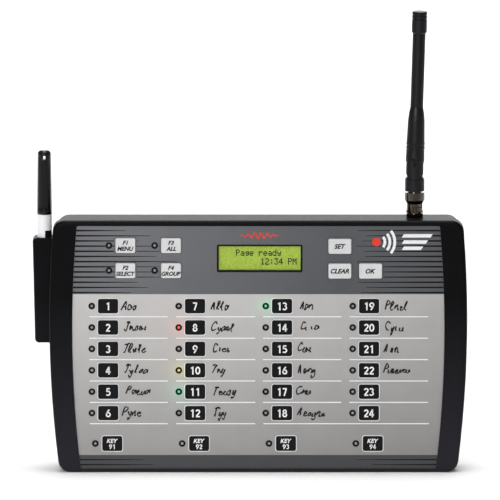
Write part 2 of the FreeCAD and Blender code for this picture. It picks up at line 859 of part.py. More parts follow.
def make_status_lights():
    """Round-nosed lights that stand on the board and end just under the face's surface."""
    nose = dim.light_height - dim.light_nose
    light = turned_body("status_light_master", [
        (0, 0), (dim.light_flange, 0), (dim.light_flange, dim.light_flange_height),
        (dim.light_radius, dim.light_flange_height), (dim.light_radius, nose),
        (dim.light_nose_radius, dim.light_height - dim.light_nose_upper),
        (dim.light_tip_radius, dim.light_height), (0, dim.light_height)])
    light.Placement = Placement(Vector(), Rotation(Vector(1, 0, 0), 90))
    return copies("status_leds", light, [(x, -dim.board_front, z) for x, z in LIGHT_PLACES])


def plate(label, level, thickness, across, up, width, height):
    """A flat rectangular plate whose back is at the level."""
    body = new_body(label)
    sketch = new_sketch(body, "XZ_Plane", level)
    rectangle(sketch, across, up, width, height)
    pad(body, sketch, thickness)
    return body


def make_display():
    x, z = dim.display_x, dim.display_height
    gap = dim.overlay_gap * 2
    window = plate("display_window", RECESS_FLOOR, dim.overlay_thickness, x, z,
                   dim.window_width - gap, dim.window_tall - gap)
    frame_width = dim.window_width + dim.module_margin * 2
    frame_tall = dim.window_tall + dim.module_margin
    frame = plate("display_frame", dim.board_front, dim.module_depth, x, z,
                  frame_width, frame_tall)
    hollow = new_sketch(frame, "XZ_Plane", dim.board_front)
    glass_width = frame_width - dim.glass_margin
    glass_tall = frame_tall - dim.glass_margin
    rectangle(hollow, x, z, glass_width, glass_tall)
    pocket(frame, hollow, dim.module_depth - dim.module_sheet, reversed_cut=True)
    view = new_sketch(frame, "XZ_Plane", dim.board_front)
    rectangle(view, x, z, dim.view_width, dim.view_tall)
    pocket(frame, view, dim.module_depth, reversed_cut=True)
    glass_back = dim.board_front + dim.module_depth - dim.module_sheet - dim.glass_depth
    glass = plate("display_glass", glass_back, dim.glass_depth, x, z,
                  glass_width - gap, glass_tall - gap)
    return [window, frame, glass]


def make_key_mat():
    """The rubber sheet between keys and board, with a dome under each key."""
    inset = dim.mat_inset
    low, high = dim.board_bottom + inset, dim.board_top - inset
    body = plate("key_mat", dim.board_front, dim.mat_thickness, ZERO, (low + high) / 2,
                 (dim.board_half_width - inset) * 2, high - low)
    holes = new_sketch(body, "XZ_Plane", dim.board_front + dim.mat_thickness)
    for x, z in LIGHT_PLACES:
        circle(holes, x, z, dim.mat_light_hole)
    for x, z in POST_PLACES:
        circle(holes, x, z, dim.post_radius + dim.key_gap)
    rectangle(holes, dim.display_x, dim.display_height,
              dim.window_width + dim.module_margin * 2 + dim.key_gap * 2,
              dim.window_tall + dim.module_margin + dim.key_gap * 2)
    pocket(body, holes, dim.mat_thickness)
    domes = new_sketch(body, "XZ_Plane", dim.board_front + dim.mat_thickness)
    key_places = NUMBER_PLACES + MANAGER_PLACES
    key_places += list(PAGE_PLACES.values()) + list(SET_PLACES.values())
    for x, z in key_places:
        circle(domes, x, z, dim.dome_radius)
    pad(body, domes, dim.dome_height)
    return body


def make_main_board():
    middle = (dim.board_bottom + dim.board_top) / 2
    body = plate("main_board", BOARD_BACK, dim.board_thickness, ZERO, middle,
                 dim.board_half_width * 2, dim.board_top - dim.board_bottom)
    holes = new_sketch(body, "XZ_Plane", dim.board_front)
    for x, z in POST_PLACES:
        circle(holes, x, z, dim.board_screw_radius)
    pocket(body, holes, dim.board_thickness)
    return body


def make_radio_module():
    """The transmitter in its screening can, on the back of the board under the antenna."""
    body = plate("radio_module", BOARD_BACK - dim.radio_depth, dim.radio_depth,
                 (dim.radio_left + dim.radio_right) / 2,
                 (dim.radio_bottom + dim.radio_top) / 2,
                 dim.radio_right - dim.radio_left, dim.radio_top - dim.radio_bottom)
    round_edges(body, dim.key_edge_round,
                lambda edge: in_plane(edge, "Y", -(BOARD_BACK - dim.radio_depth).value))
    return body


def make_power_inlet():
    """A barrel inlet: a box with a blind round socket and a centre pin."""
    x, z = dim.inlet_x, dim.inlet_height
    gap = dim.overlay_gap * 2
    body = plate("power_inlet", BACK, dim.inlet_depth, x, z,
                 dim.inlet_width - gap, dim.inlet_tall - gap)
    socket = new_sketch(body, "XZ_Plane", BACK)
    circle(socket, x, z, dim.inlet_bore)
    pocket(body, socket, dim.inlet_bore_depth, reversed_cut=True)
    pin = new_sketch(body, "XZ_Plane", BACK + dim.inlet_pin_recess)
    circle(pin, x, z, dim.inlet_pin)
    pad(body, pin, dim.inlet_bore_depth)
    return body


# --- antenna -------------------------------------------------------------------------------------

def place_on_jack(item):
    return place(item, x=dim.antenna_x, y=dim.antenna_y, z=REAR_TOP)


def centred_pad(body, sketch, length):
    feature = pad(body, sketch, length)
    feature.Midplane = True
    return feature


def centred_pocket(body, sketch, length):
    feature = pocket(body, sketch, length)
    feature.Midplane = True
    return feature


def make_antenna_jack():
    """The bayonet jack: it goes through the top wall and its tail meets the radio module."""
    tail_end = dim.radio_top - REAR_TOP
    flange_low = -dim.wall - dim.jack_flange_height
    back_end = flange_low - dim.jack_back
    body = turned_body("antenna_jack", [
        (0, tail_end), (dim.jack_tail, tail_end), (dim.jack_tail, back_end),
        (dim.jack_radius, back_end), (dim.jack_radius, flange_low),
        (dim.jack_flange, flange_low), (dim.jack_flange, -dim.wall),
        (dim.jack_radius, -dim.wall), (dim.jack_radius, dim.jack_length),
        (0, dim.jack_length)])
    lugs = new_sketch(body, "YZ_Plane")
    circle(lugs, ZERO, dim.lug_height, dim.lug_radius)
    centred_pad(body, lugs, dim.lug_reach * 2)
    floor = dim.jack_length - dim.jack_bore_depth
    core_top = dim.jack_length - dim.jack_core_recess
    contact_floor = core_top - dim.jack_contact_depth
    socket = new_sketch(body, "XZ_Plane")
    polygon(socket, [
        (0, contact_floor), (dim.jack_contact, contact_floor), (dim.jack_contact, core_top),
        (dim.jack_core, core_top), (dim.jack_core, floor), (dim.jack_bore, floor),
        (dim.jack_bore, dim.jack_length), (0, dim.jack_length)])
    groove(body, socket)
    return place_on_jack(body)


def make_jack_nut():
    body = new_body("jack_nut")
    hexagon = new_sketch(body, "XY_Plane")
    corners = [math.radians(30 + 60 * corner) for corner in range(6)]
    polygon(hexagon, [(dim.nut_radius * round(math.cos(turn), 6),
                       dim.nut_radius * round(math.sin(turn), 6)) for turn in corners])
    circle(hexagon, ZERO, ZERO, dim.jack_radius)
    pad(body, hexagon, dim.nut_height)
    return place_on_jack(body)


def make_coupling_ring():
    """The bayonet ring: a slotted sleeve over the jack's lugs, and a wide grip above it."""
    body = turned_body("coupling_ring", [
        (dim.ring_bore, dim.ring_bottom), (dim.ring_rim, dim.ring_bottom),
        (dim.ring_rim, dim.ring_rim_top), (dim.ring_sleeve, dim.ring_rim_top),
        (dim.ring_sleeve, dim.ring_flare_start), (dim.ring_grip, dim.ring_flare_end),
        (dim.ring_grip, dim.ring_top), (dim.ring_throat, dim.ring_top),
        (dim.ring_throat, dim.ring_shoulder), (dim.ring_bore, dim.ring_shoulder)])
    reach = dim.lug_radius + dim.slot_clearance
    low, high = dim.lug_height - reach, dim.lug_height + reach
    for middle in (-45, 135):
        slot = new_sketch(body, "XZ_Plane")
        slot.AttachmentOffset = Placement(Vector(), Rotation(Vector(0, 1, 0), middle))
        inner, outer = dim.ring_bore - dim.slot_clearance, dim.ring_sleeve + 1
        polygon(slot, [(inner, low), (outer, low), (outer, high), (inner, high)])
        cut = groove(body, slot)
        cut.Midplane = True
        bind(cut, Angle=dim.ring_turn + dim.lug_half_angle * 2)
    entries = new_sketch(body, "XY_Plane", dim.ring_bottom)
    for side in (-1, 1):
        rectangle(entries, ZERO, dim.ring_sleeve * side, reach * 2, dim.lug_radius * 2)
    pocket(body, entries, dim.lug_height - dim.ring_bottom, reversed_cut=True)
    return place_on_jack(body)


def make_plug_body():
    """The plug: contact pin and sleeve inside the jack, and the collar the ring turns on."""
    foot = dim.plug_foot
    flange_top = foot + dim.plug_flange_height
    body = turned_body("plug_body", [
        (0, foot - dim.plug_contact_length),
        (dim.plug_contact, foot - dim.plug_contact_length), (dim.plug_contact, foot),
        (dim.plug_sleeve_bore, foot), (dim.plug_sleeve_bore, foot - dim.plug_sleeve_length),
        (dim.plug_sleeve, foot - dim.plug_sleeve_length), (dim.plug_sleeve, foot),
        (dim.plug_flange, foot), (dim.plug_flange, flange_top),
        (dim.plug_radius, flange_top), (dim.plug_radius, dim.knuckle_bottom),
        (0, dim.knuckle_bottom)])
    return place_on_jack(body)


def make_knuckle_base():
    """The swivel body: a round foot with a saddle for the whip's ears, and a central tongue."""
    body = turned_body("knuckle_base", [
        (0, dim.knuckle_bottom), (dim.knuckle_radius, dim.knuckle_bottom),
        (dim.knuckle_radius, dim.knuckle_shoulder), (0, dim.knuckle_shoulder)])
    through = dim.knuckle_radius * 2 + 2
    saddle = new_sketch(body, "XZ_Plane")
    circle(saddle, ZERO, dim.pivot_height, dim.knuckle_radius)
    centred_pocket(body, saddle, through)
    sideways = new_sketch(body, "YZ_Plane")
    circle(sideways, ZERO, dim.pivot_height, dim.ear_radius + dim.saddle_clearance)
    centred_pocket(body, sideways, through)
    web = new_sketch(body, "XZ_Plane")
    middle = (dim.tongue_root + dim.pivot_height) / 2
    rectangle(web, ZERO, middle, dim.tongue_radius * 2, dim.pivot_height - dim.tongue_root)
    centred_pad(body, web, dim.tongue_thickness)
    disc = new_sketch(body, "XZ_Plane")
    circle(disc, ZERO, dim.pivot_height, dim.tongue_radius)
    centred_pad(body, disc, dim.tongue_thickness)
    eye = new_sketch(body, "XZ_Plane")
    circle(eye, ZERO, dim.pivot_height, dim.pin_radius + dim.pin_clearance)
    centred_pocket(body, eye, dim.tongue_thickness)
    return place_on_jack(body)


def make_knuckle_pin():
    body = new_body("knuckle_pin")
    end = new_sketch(body, "XZ_Plane")
    circle(end, ZERO, ZERO, dim.pin_radius)
    centred_pad(body, end, dim.pin_length)
    return place(body, x=dim.antenna_x, y=dim.antenna_y, z=REAR_TOP + dim.pivot_height)


def make_antenna_whip():
    """The whip about its pivot: a forked foot, a tapering body, and a thin mast with a cap."""
    rib_radius, neck = dim.whip_rib_radius, dim.whip_neck_radius
    profile = [(0, -dim.ear_radius), (dim.ear_radius, -dim.ear_radius),
               (dim.ear_radius, dim.recess_bar_top)]
    for rib in (dim.whip_rib_low, dim.whip_rib_high):
        profile += [(neck, rib - dim.whip_rib_half * 2), (rib_radius, rib - dim.whip_rib_half),
                    (rib_radius, rib + dim.whip_rib_half), (neck, rib + dim.whip_rib_half * 2)]
    profile += [(dim.whip_body_top_radius, dim.whip_body_top),
                (dim.whip_shoulder_low_radius, dim.whip_shoulder_low),
                (dim.whip_shoulder_high_radius, dim.whip_shoulder_high),
                (dim.whip_radius, dim.whip_flare_top),
                (dim.whip_radius, dim.whip_cap_bottom - dim.whip_cap_chamfer),
                (dim.whip_cap_radius, dim.whip_cap_bottom)]
    groove_floor = dim.whip_cap_radius - dim.whip_groove_depth
    for middle in (dim.whip_groove_low, dim.whip_groove_high):
        half = dim.whip_groove_half
        profile += [(dim.whip_cap_radius, middle - half), (groove_floor, middle - half / 2),
                    (groove_floor, middle + half / 2), (dim.whip_cap_radius, middle + half)]
    profile += [(dim.whip_cap_radius, dim.whip_top - dim.whip_cap_chamfer),
                (groove_floor, dim.whip_top),
                (0, dim.whip_top)]
    body = turned_body("antenna_whip", profile)
    round_whip_foot(body)
    cut_whip_fork(body)
    lean = Rotation(Vector(0, 1, 0), dim.whip_lean.value)
    body.Placement = Placement(Vector(), lean)
    return place(body, x=dim.antenna_x, y=dim.antenna_y, z=REAR_TOP + dim.pivot_height)


def round_whip_foot(body):
    """Round the ears' lower ends about the pivot."""
    radius, reach = dim.ear_radius, dim.ear_radius + 1
    around = new_sketch(body, "XZ_Plane")
    points = [(-radius, ZERO), (-reach, ZERO), (-reach, -reach), (reach, -reach),
              (reach, ZERO), (radius, ZERO)]
    vectors = [Vector(x.value, z.value, 0) for x, z in points]
    for start, end in zip(vectors, vectors[1:]):
        around.addGeometry(Part.LineSegment(start, end))
    lower_half = Part.Circle(Vector(), Vector(0, 0, 1), radius.value)
    arc = around.addGeometry(Part.ArcOfCircle(lower_half, math.pi, 2 * math.pi))
    last = arc - 1
    for index in range(last):
        around.addConstraint(Sketcher.Constraint("Coincident", index, 2, index + 1, 1))
    around.addConstraint(Sketcher.Constraint("Coincident", arc, 1, 0, 1))
    around.addConstraint(Sketcher.Constraint("Coincident", arc, 2, last, 2))
    for index, (x, z) in enumerate(points[:-1]):
        fix_point(around, index, 1, x, z)
    fix_point(around, arc, 3, ZERO, ZERO)
    around.addConstraint(Sketcher.Constraint("PointOnObject", last, 2, -1))
    centred_pocket(body, around, reach * 2)


def cut_whip_fork(body):
    """The slot over the tongue, the bores of the pin, and the release mark on the front."""
    gap = dim.tongue_thickness + dim.fork_gap * 2
    slot = new_sketch(body, "YZ_Plane")
    low = -dim.ear_radius - 1
    rectangle(slot, ZERO, (low + dim.fork_depth) / 2, gap, dim.fork_depth - low)
    centred_pocket(body, slot, dim.ear_radius * 2 + 2)
    bores = new_sketch(body, "XZ_Plane")
    circle(bores, ZERO, ZERO, dim.pin_radius)
    centred_pocket(body, bores, dim.pin_length)
    mark = new_sketch(body, "XZ_Plane", dim.ear_radius)
    half_bar, half_stem = dim.recess_bar_width / 2, dim.recess_stem_width / 2
    top = dim.recess_bar_top
    bar_low, stem_low = top - dim.recess_bar_height, top - dim.recess_stem_height
    polygon(mark, [
        (-half_bar, top), (-half_bar, bar_low), (-half_stem, bar_low), (-half_stem, stem_low),
        (half_stem, stem_low), (half_stem, bar_low), (half_bar, bar_low), (half_bar, top)])
    pocket(body, mark, dim.recess_cut)


# --- marker and holder ---------------------------------------------------------------------------

def make_marker_holder():
    """A tube with a floor that follows the rear shell's bowed side."""
    body = new_body("marker_holder")
    middle = -dim.marker_y
    outline = new_sketch(body, "XZ_Plane", middle - dim.holder_depth / 2)
    bow = dim.side_radius - dim.half_width
    radius = dim.side_radius - dim.rear_side_inset

    def side(height):
        rise = height.value - dim.widest_height.value
        return bow.value - math.sqrt(radius.value ** 2 - rise ** 2)

    low, high = dim.holder_bottom, dim.holder_top
    corners = [Vector(side(high), high.value, 0), Vector(-dim.holder_left_top.value, high.value, 0),
               Vector(-dim.holder_left_bottom.value, low.value, 0), Vector(side(low), low.value, 0)]
    for start, end in zip(corners, corners[1:]):
        outline.addGeometry(Part.LineSegment(start, end))
    centre = Vector(bow.value, dim.widest_height.value, 0)
    angles = [math.atan2(corner.y - centre.y, corner.x - centre.x) % (2 * math.pi)
              for corner in (corners[0], corners[-1])]
    arc = outline.addGeometry(Part.ArcOfCircle(
        Part.Circle(centre, Vector(0, 0, 1), radius.value), *angles))
    for first, first_end, second, second_end in (
            (0, 2, 1, 1), (1, 2, 2, 1), (0, 1, arc, 1), (2, 2, arc, 2)):
        outline.addConstraint(
            Sketcher.Constraint("Coincident", first, first_end, second, second_end))
    outline.addConstraint(Sketcher.Constraint("Horizontal", 0))
    outline.addConstraint(Sketcher.Constraint("Horizontal", 2))
    fix_point(outline, 1, 1, -dim.holder_left_top, high)
    fix_point(outline, 1, 2, -dim.holder_left_bottom, low)
    fix_point(outline, arc, 3, bow, dim.widest_height)
    fix_radius(outline, arc, radius)
    pad(body, outline, dim.holder_depth)
    outer = -dim.holder_left_bottom.value + 0.1
    round_edges(body, dim.holder_corner, lambda edge: edge.BoundBox.XMax < outer)
    bore = new_sketch(body, "XY_Plane", high)
    circle(bore, dim.marker_x, dim.marker_y, dim.holder_bore)
    pocket(body, bore, high - low - dim.holder_floor)
    return body


def place_marker(item):
    return place(item, x=dim.marker_x, y=dim.marker_y, z=dim.holder_bottom + dim.holder_floor)


MARKER_LENGTH = dim.cap_bottom - dim.holder_bottom - dim.holder_floor
NOSE_ROOT = MARKER_LENGTH + dim.neck_length
NOSE_END = NOSE_ROOT + dim.nose_length


def make_marker_barrel():
    nib_floor = NOSE_END - dim.nib_root
    body = turned_body("marker_barrel", [
        (0, 0), (dim.marker_end_radius, 0), (dim.marker_radius, dim.marker_gap * 4),
        (dim.marker_radius, MARKER_LENGTH), (dim.marker_neck, MARKER_LENGTH),
        (dim.marker_neck, NOSE_ROOT), (dim.nose_radius, NOSE_END),
        (dim.nib_radius, NOSE_END), (dim.nib_radius, nib_floor), (0, nib_floor)])
    return place_marker(body)


def make_marker_nib():
    nib_floor = NOSE_END - dim.nib_root
    tip = NOSE_END + dim.nib_length
    body = turned_body("marker_nib", [
        (0, nib_floor), (dim.nib_radius, nib_floor), (dim.nib_radius, tip - dim.nib_radius),
        (dim.nib_point_radius, tip - dim.nib_point_length), (0, tip)])
    return place_marker(body)


def make_marker_cap():
    """The tapered cap, hollow for the neck, with a small slot through its closed end."""
    low = MARKER_LENGTH + dim.pin_clearance
    high = low + (dim.cap_top - dim.cap_bottom)
    step, tip = low + dim.cap_bore_length, low + dim.cap_tip_bore_length
    body = turned_body("marker_cap", [
        (dim.cap_bore, low), (dim.cap_radius, low),
        (dim.cap_top_radius, high - dim.cap_shoulder_height),
        (dim.cap_edge_radius, high - dim.cap_edge_height),
        (dim.cap_crown_radius, high), (0, high),
        (0, tip), (dim.cap_tip_bore, tip), (dim.cap_tip_bore, step), (dim.cap_bore, step)])
    slot = new_sketch(body, "XZ_Plane")
    rounded_rectangle(slot, ZERO, high - dim.cap_slot_below, dim.cap_slot_width,
                      dim.cap_slot_height, dim.cap_slot_corner)
    centred_pocket(body, slot, dim.cap_radius * 2)
    return place_marker(body)


# --- the whole console ---------------------------------------------------------------------------

def check(items):
    """Stop if any feature failed, any cut removed nothing, or any shape is not a sound solid."""
    doc.recompute()
    for item in doc.Objects:
        if "Invalid" in item.State or "Error" in item.State:
            raise RuntimeError(f"{item.Label} failed to recompute")
        if item.TypeId in ("PartDesign::Pocket", "PartDesign::Groove"):
            if item.Shape.Volume >= item.BaseFeature.Shape.Volume:
                raise RuntimeError(f"{item.Label} cuts nothing")
    for item in items:
        if item.Shape.isNull() or not item.Shape.isValid():
            raise RuntimeError(f"{item.Label} has no valid shape")
        if item.TypeId == "PartDesign::Body" and len(item.Shape.Solids) != 1:
            raise RuntimeError(f"{item.Label} is not one solid")


def make_console():
    items = [make_front_shell(), make_rear_shell(), make_face_overlay(), make_key_mat(),
             make_main_board(), make_radio_module(), make_power_inlet(), make_rubber_feet(),
             make_status_lights()]
    items += make_display()
    items += make_keys()
    items += [make_antenna_jack(), make_jack_nut(), make_coupling_ring(), make_plug_body(),
              make_knuckle_base(), make_knuckle_pin(), make_antenna_whip()]
    items += [make_marker_holder(), make_marker_barrel(), make_marker_nib(), make_marker_cap()]
    seat = BACK + dim.counterbore_depth
    items.append(make_screws("case_screws", SCREW_PLACES, seat, dim.screw_head,
                             dim.screw_head_height, dim.screw_radius,
                             PARTING - seat + dim.screw_reach))
    items.append(make_screws("board_screws", POST_PLACES, BOARD_BACK, dim.board_screw_head,
                             dim.board_screw_head_height, dim.post_pilot,
                             dim.board_screw_length))
    check(items)
    return items


os.makedirs("parts", exist_ok=True)
for sub_part in make_console():
    sub_part.Shape.exportStep(f"parts/{sub_part.Label}.step")
    print(f"{sub_part.Label}: {sub_part.Shape.Volume / 1000:.3f} cm3")
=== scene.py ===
import math
import random

import bmesh
import bpy
from mathutils import Matrix, Vector


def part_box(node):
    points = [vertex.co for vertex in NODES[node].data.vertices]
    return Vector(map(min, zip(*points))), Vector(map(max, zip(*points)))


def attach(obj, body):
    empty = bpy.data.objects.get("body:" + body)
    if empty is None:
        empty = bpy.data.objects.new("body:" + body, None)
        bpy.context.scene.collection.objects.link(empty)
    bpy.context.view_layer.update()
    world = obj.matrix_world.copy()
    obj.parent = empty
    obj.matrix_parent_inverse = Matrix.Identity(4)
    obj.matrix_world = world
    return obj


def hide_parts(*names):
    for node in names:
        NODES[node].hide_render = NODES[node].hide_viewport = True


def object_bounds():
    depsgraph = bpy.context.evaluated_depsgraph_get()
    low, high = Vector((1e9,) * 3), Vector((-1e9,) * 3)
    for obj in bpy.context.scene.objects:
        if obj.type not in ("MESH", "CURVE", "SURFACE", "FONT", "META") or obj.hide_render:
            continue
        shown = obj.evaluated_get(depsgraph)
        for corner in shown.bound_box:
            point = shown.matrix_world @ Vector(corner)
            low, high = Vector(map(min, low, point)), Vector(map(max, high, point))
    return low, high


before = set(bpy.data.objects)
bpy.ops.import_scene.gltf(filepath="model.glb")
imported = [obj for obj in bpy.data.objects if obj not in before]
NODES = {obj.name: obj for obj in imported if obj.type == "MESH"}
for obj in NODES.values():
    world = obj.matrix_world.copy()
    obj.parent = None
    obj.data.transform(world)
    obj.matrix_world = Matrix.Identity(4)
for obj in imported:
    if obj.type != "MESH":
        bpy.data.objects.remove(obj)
CAD_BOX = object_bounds()

MM = 0.001
NUMBER_KEYS = [f"key_{number:02d}" for number in range(1, 25)]
MANAGER_KEYS = [f"key_{number}" for number in range(91, 95)]
WHITE_KEYS = {
    "key_menu": ("F1", "MENU"),
    "key_select": ("F2", "SELECT"),
    "key_all_page": ("F3", "ALL"),
    "key_all_managers": ("F4", "GROUP"),
    "key_setup": ("SET",),
    "key_cancel": ("CLEAR",),
    "key_enter": ("OK",),
}
LIT_LIGHTS = {"key_08": "red", "key_10": "yellow", "key_11": "green", "key_13": "green"}

SHEET_LOW, SHEET_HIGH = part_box("face_overlay")
FACE_Y = SHEET_LOW.y

# Print stands proud of the face by a fraction of its thickness, and starts a little inside it.
INK = 0.04 * MM
INK_BACK = FACE_Y + INK
LINE_FRONT = FACE_Y - INK * 0.5
MARK_FRONT = FACE_Y - INK * 0.7

# The artwork's middle line runs a little to the left of the display window's.
PANE_LOW, PANE_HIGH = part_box("display_window")
ART_X = (PANE_LOW.x + PANE_HIGH.x) / 2 - 1.9 * MM

# Heights of the printed zones of the face, from the bottom of the case.
FOOT_STRIP_TOP = 12.9 * MM
LIGHT_ZONE_TOP = 132.2 * MM

# Painted light: the case's colour is made paler below this height.
PAINTED_LIGHT_TOP = 0.13

# Points closer together than this count as one.
WELD = 1e-6


# --- small mesh tools ----------------------------------------------------------------------------

def centre_of(node):
    """The middle of a node's box."""
    low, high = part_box(node)
    return (low + high) / 2


def key_cap(node):
    """Centre, width and height of a key's cap: its box less the flange hidden behind the face."""
    flange = 0.9 * MM
    low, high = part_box(node)
    middle = (low + high) / 2
    return middle, high.x - low.x - 2 * flange, high.z - low.z - 2 * flange


def show(item):
    """Link an object into the scene."""
    bpy.context.scene.collection.objects.link(item)


def add_piece(name, mesh, materials, body, smooth=True, angle=35):
    """Link a mesh as a piece that rides on a body and takes its finish from a slot."""
    for material in materials:
        mesh.materials.append(material)
    piece = bpy.data.objects.new(name, mesh)
    show(piece)
    if smooth:
        mesh.shade_smooth()
        mesh.set_sharp_from_angle(angle=math.radians(angle))
    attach(piece, body)
    return piece


def finish_mesh(name, bm):
    """Turn a bmesh into a named mesh with its faces outward."""
    bmesh.ops.recalc_face_normals(bm, faces=bm.faces)
    mesh = bpy.data.meshes.new(name)
    bm.to_mesh(mesh)
    bm.free()
    return mesh


def add_print(name, bm, material, body="console"):
    """A flat printed piece."""
    add_piece(name, finish_mesh(name, bm), [material], body, smooth=False)


def cad_copy(node):
    """A welded copy of a node's own mesh."""
    bm = bmesh.new()
    bm.from_mesh(NODES[node].data)
    bmesh.ops.remove_doubles(bm, verts=bm.verts, dist=WELD)
    return bm


def cut_level(bm, height):
    """Cut every face at one height, so that it has an edge there."""
    everything = list(bm.verts) + list(bm.edges) + list(bm.faces)
    bmesh.ops.bisect_plane(bm, geom=everything, plane_co=(0, 0, height), plane_no=(0, 0, 1))


def close_tube(bm, rings):
    """Skin a row of vertex rings, and close both ends."""
    sides = len(rings[0])
    for one, two in zip(rings, rings[1:]):
        for side in range(sides):
            after = (side + 1) % sides
            bm.faces.new((one[side], one[after], two[after], two[side]))
    bm.faces.new(rings[0])
    bm.faces.new(list(reversed(rings[-1])))


def add_prism(bm, outline, front, back):
    """A closed plate with an (x, z) outline between two depths."""
    near = [bm.verts.new((x, front, z)) for x, z in outline]
    far = [bm.verts.new((x, back, z)) for x, z in outline]
    bm.faces.new(near)
    bm.faces.new(list(reversed(far)))
    count = len(outline)
    for index in range(count):
        following = (index + 1) % count
        bm.faces.new((near[following], near[index], far[index], far[following]))


def box_outline(left, low, right, high):
    """The four (x, z) corners of an upright rectangle."""
    return [(left, low), (right, low), (right, high), (left, high)]


def add_loop(bm, path, section):
    """Sweep a closed (offset, depth) section round a closed path of (point, outward) pairs."""
    rings = []
    for (x, z), (nx, nz) in path:
        rings.append([bm.verts.new((x + nx * offset, depth, z + nz * offset))
                      for offset, depth in section])
    sides = len(section)
    for index, ring in enumerate(rings):
        following = rings[(index + 1) % len(rings)]
        for side in range(sides):
            after = (side + 1) % sides
            bm.faces.new((ring[side], ring[after], following[after], following[side]))


def round_path(x, z, radius, count=40):
    """A circle, as (point, outward) pairs."""
    turns = [2 * math.pi * step / count for step in range(count)]
    return [((x + math.cos(turn) * radius, z + math.sin(turn) * radius),
             (math.cos(turn), math.sin(turn))) for turn in turns]


def box_path(x, z, width, height, corner, steps=6):
    """A rounded rectangle about its centre, as (point, outward) pairs."""
    path = []
    for quarter, (sx, sz) in enumerate(((1, 1), (-1, 1), (-1, -1), (1, -1))):
        cx, cz = x + sx * (width / 2 - corner), z + sz * (height / 2 - corner)
        for step in range(steps + 1):
            turn = math.pi / 2 * (quarter + step / steps)
            normal = (math.cos(turn), math.sin(turn))
            path.append(((cx + normal[0] * corner, cz + normal[1] * corner), normal))
    return path


def add_ribbon(bm, points, widths, front, back):
    """A flat stroke of ink along (x, z) points."""
    sections = []
    for index, (x, z) in enumerate(points):
        before = points[max(index - 1, 0)]
        after = points[min(index + 1, len(points) - 1)]
        along = Vector((after[0] - before[0], after[1] - before[1]))
        if along.length < WELD:
            along = Vector((1, 0))
        along.normalize()
        half = widths[index] / 2
        across = (-along.y * half, along.x * half)
        sections.append([
            bm.verts.new((x + across[0], front, z + across[1])),
            bm.verts.new((x - across[0], front, z - across[1])),
            bm.verts.new((x - across[0], back, z - across[1])),
            bm.verts.new((x + across[0], back, z + across[1]))])
    close_tube(bm, sections)


def text_mesh(name, text, height, weight=0.0, slant=0.0, spacing=1.0):
    """Lettering of one capital height, centred on the origin and facing the front."""
    curve = bpy.data.curves.new(name, "FONT")
    curve.body = text
    curve.align_x = "CENTER"
    curve.align_y = "CENTER"
    curve.size = 1.0
    curve.offset = weight
    curve.shear = slant
    curve.space_character = spacing
    curve.extrude = 0.01
    curve.resolution_u = 6
    holder = bpy.data.objects.new(name, curve)
    show(holder)
    bpy.context.view_layer.update()
    shape = holder.evaluated_get(bpy.context.evaluated_depsgraph_get())
    mesh = bpy.data.meshes.new_from_object(shape)
    bpy.data.objects.remove(holder)
    bpy.data.curves.remove(curve)
    ups = [vertex.co.y for vertex in mesh.vertices]
    acrosses = [vertex.co.x for vertex in mesh.vertices]
    scale = height / (max(ups) - min(ups))
    middle = Vector(((max(acrosses) + min(acrosses)) / 2, (max(ups) + min(ups)) / 2, 0))
    for vertex in mesh.vertices:
        flat = (vertex.co - middle) * scale
        depth = -INK if vertex.co.z > 0 else INK / 2
        vertex.co = Vector((flat.x, depth, flat.y))
    return mesh


# --- materials -----------------------------------------------------------------------------------

BLACK = (0.0, 0.0, 0.0, 1.0)


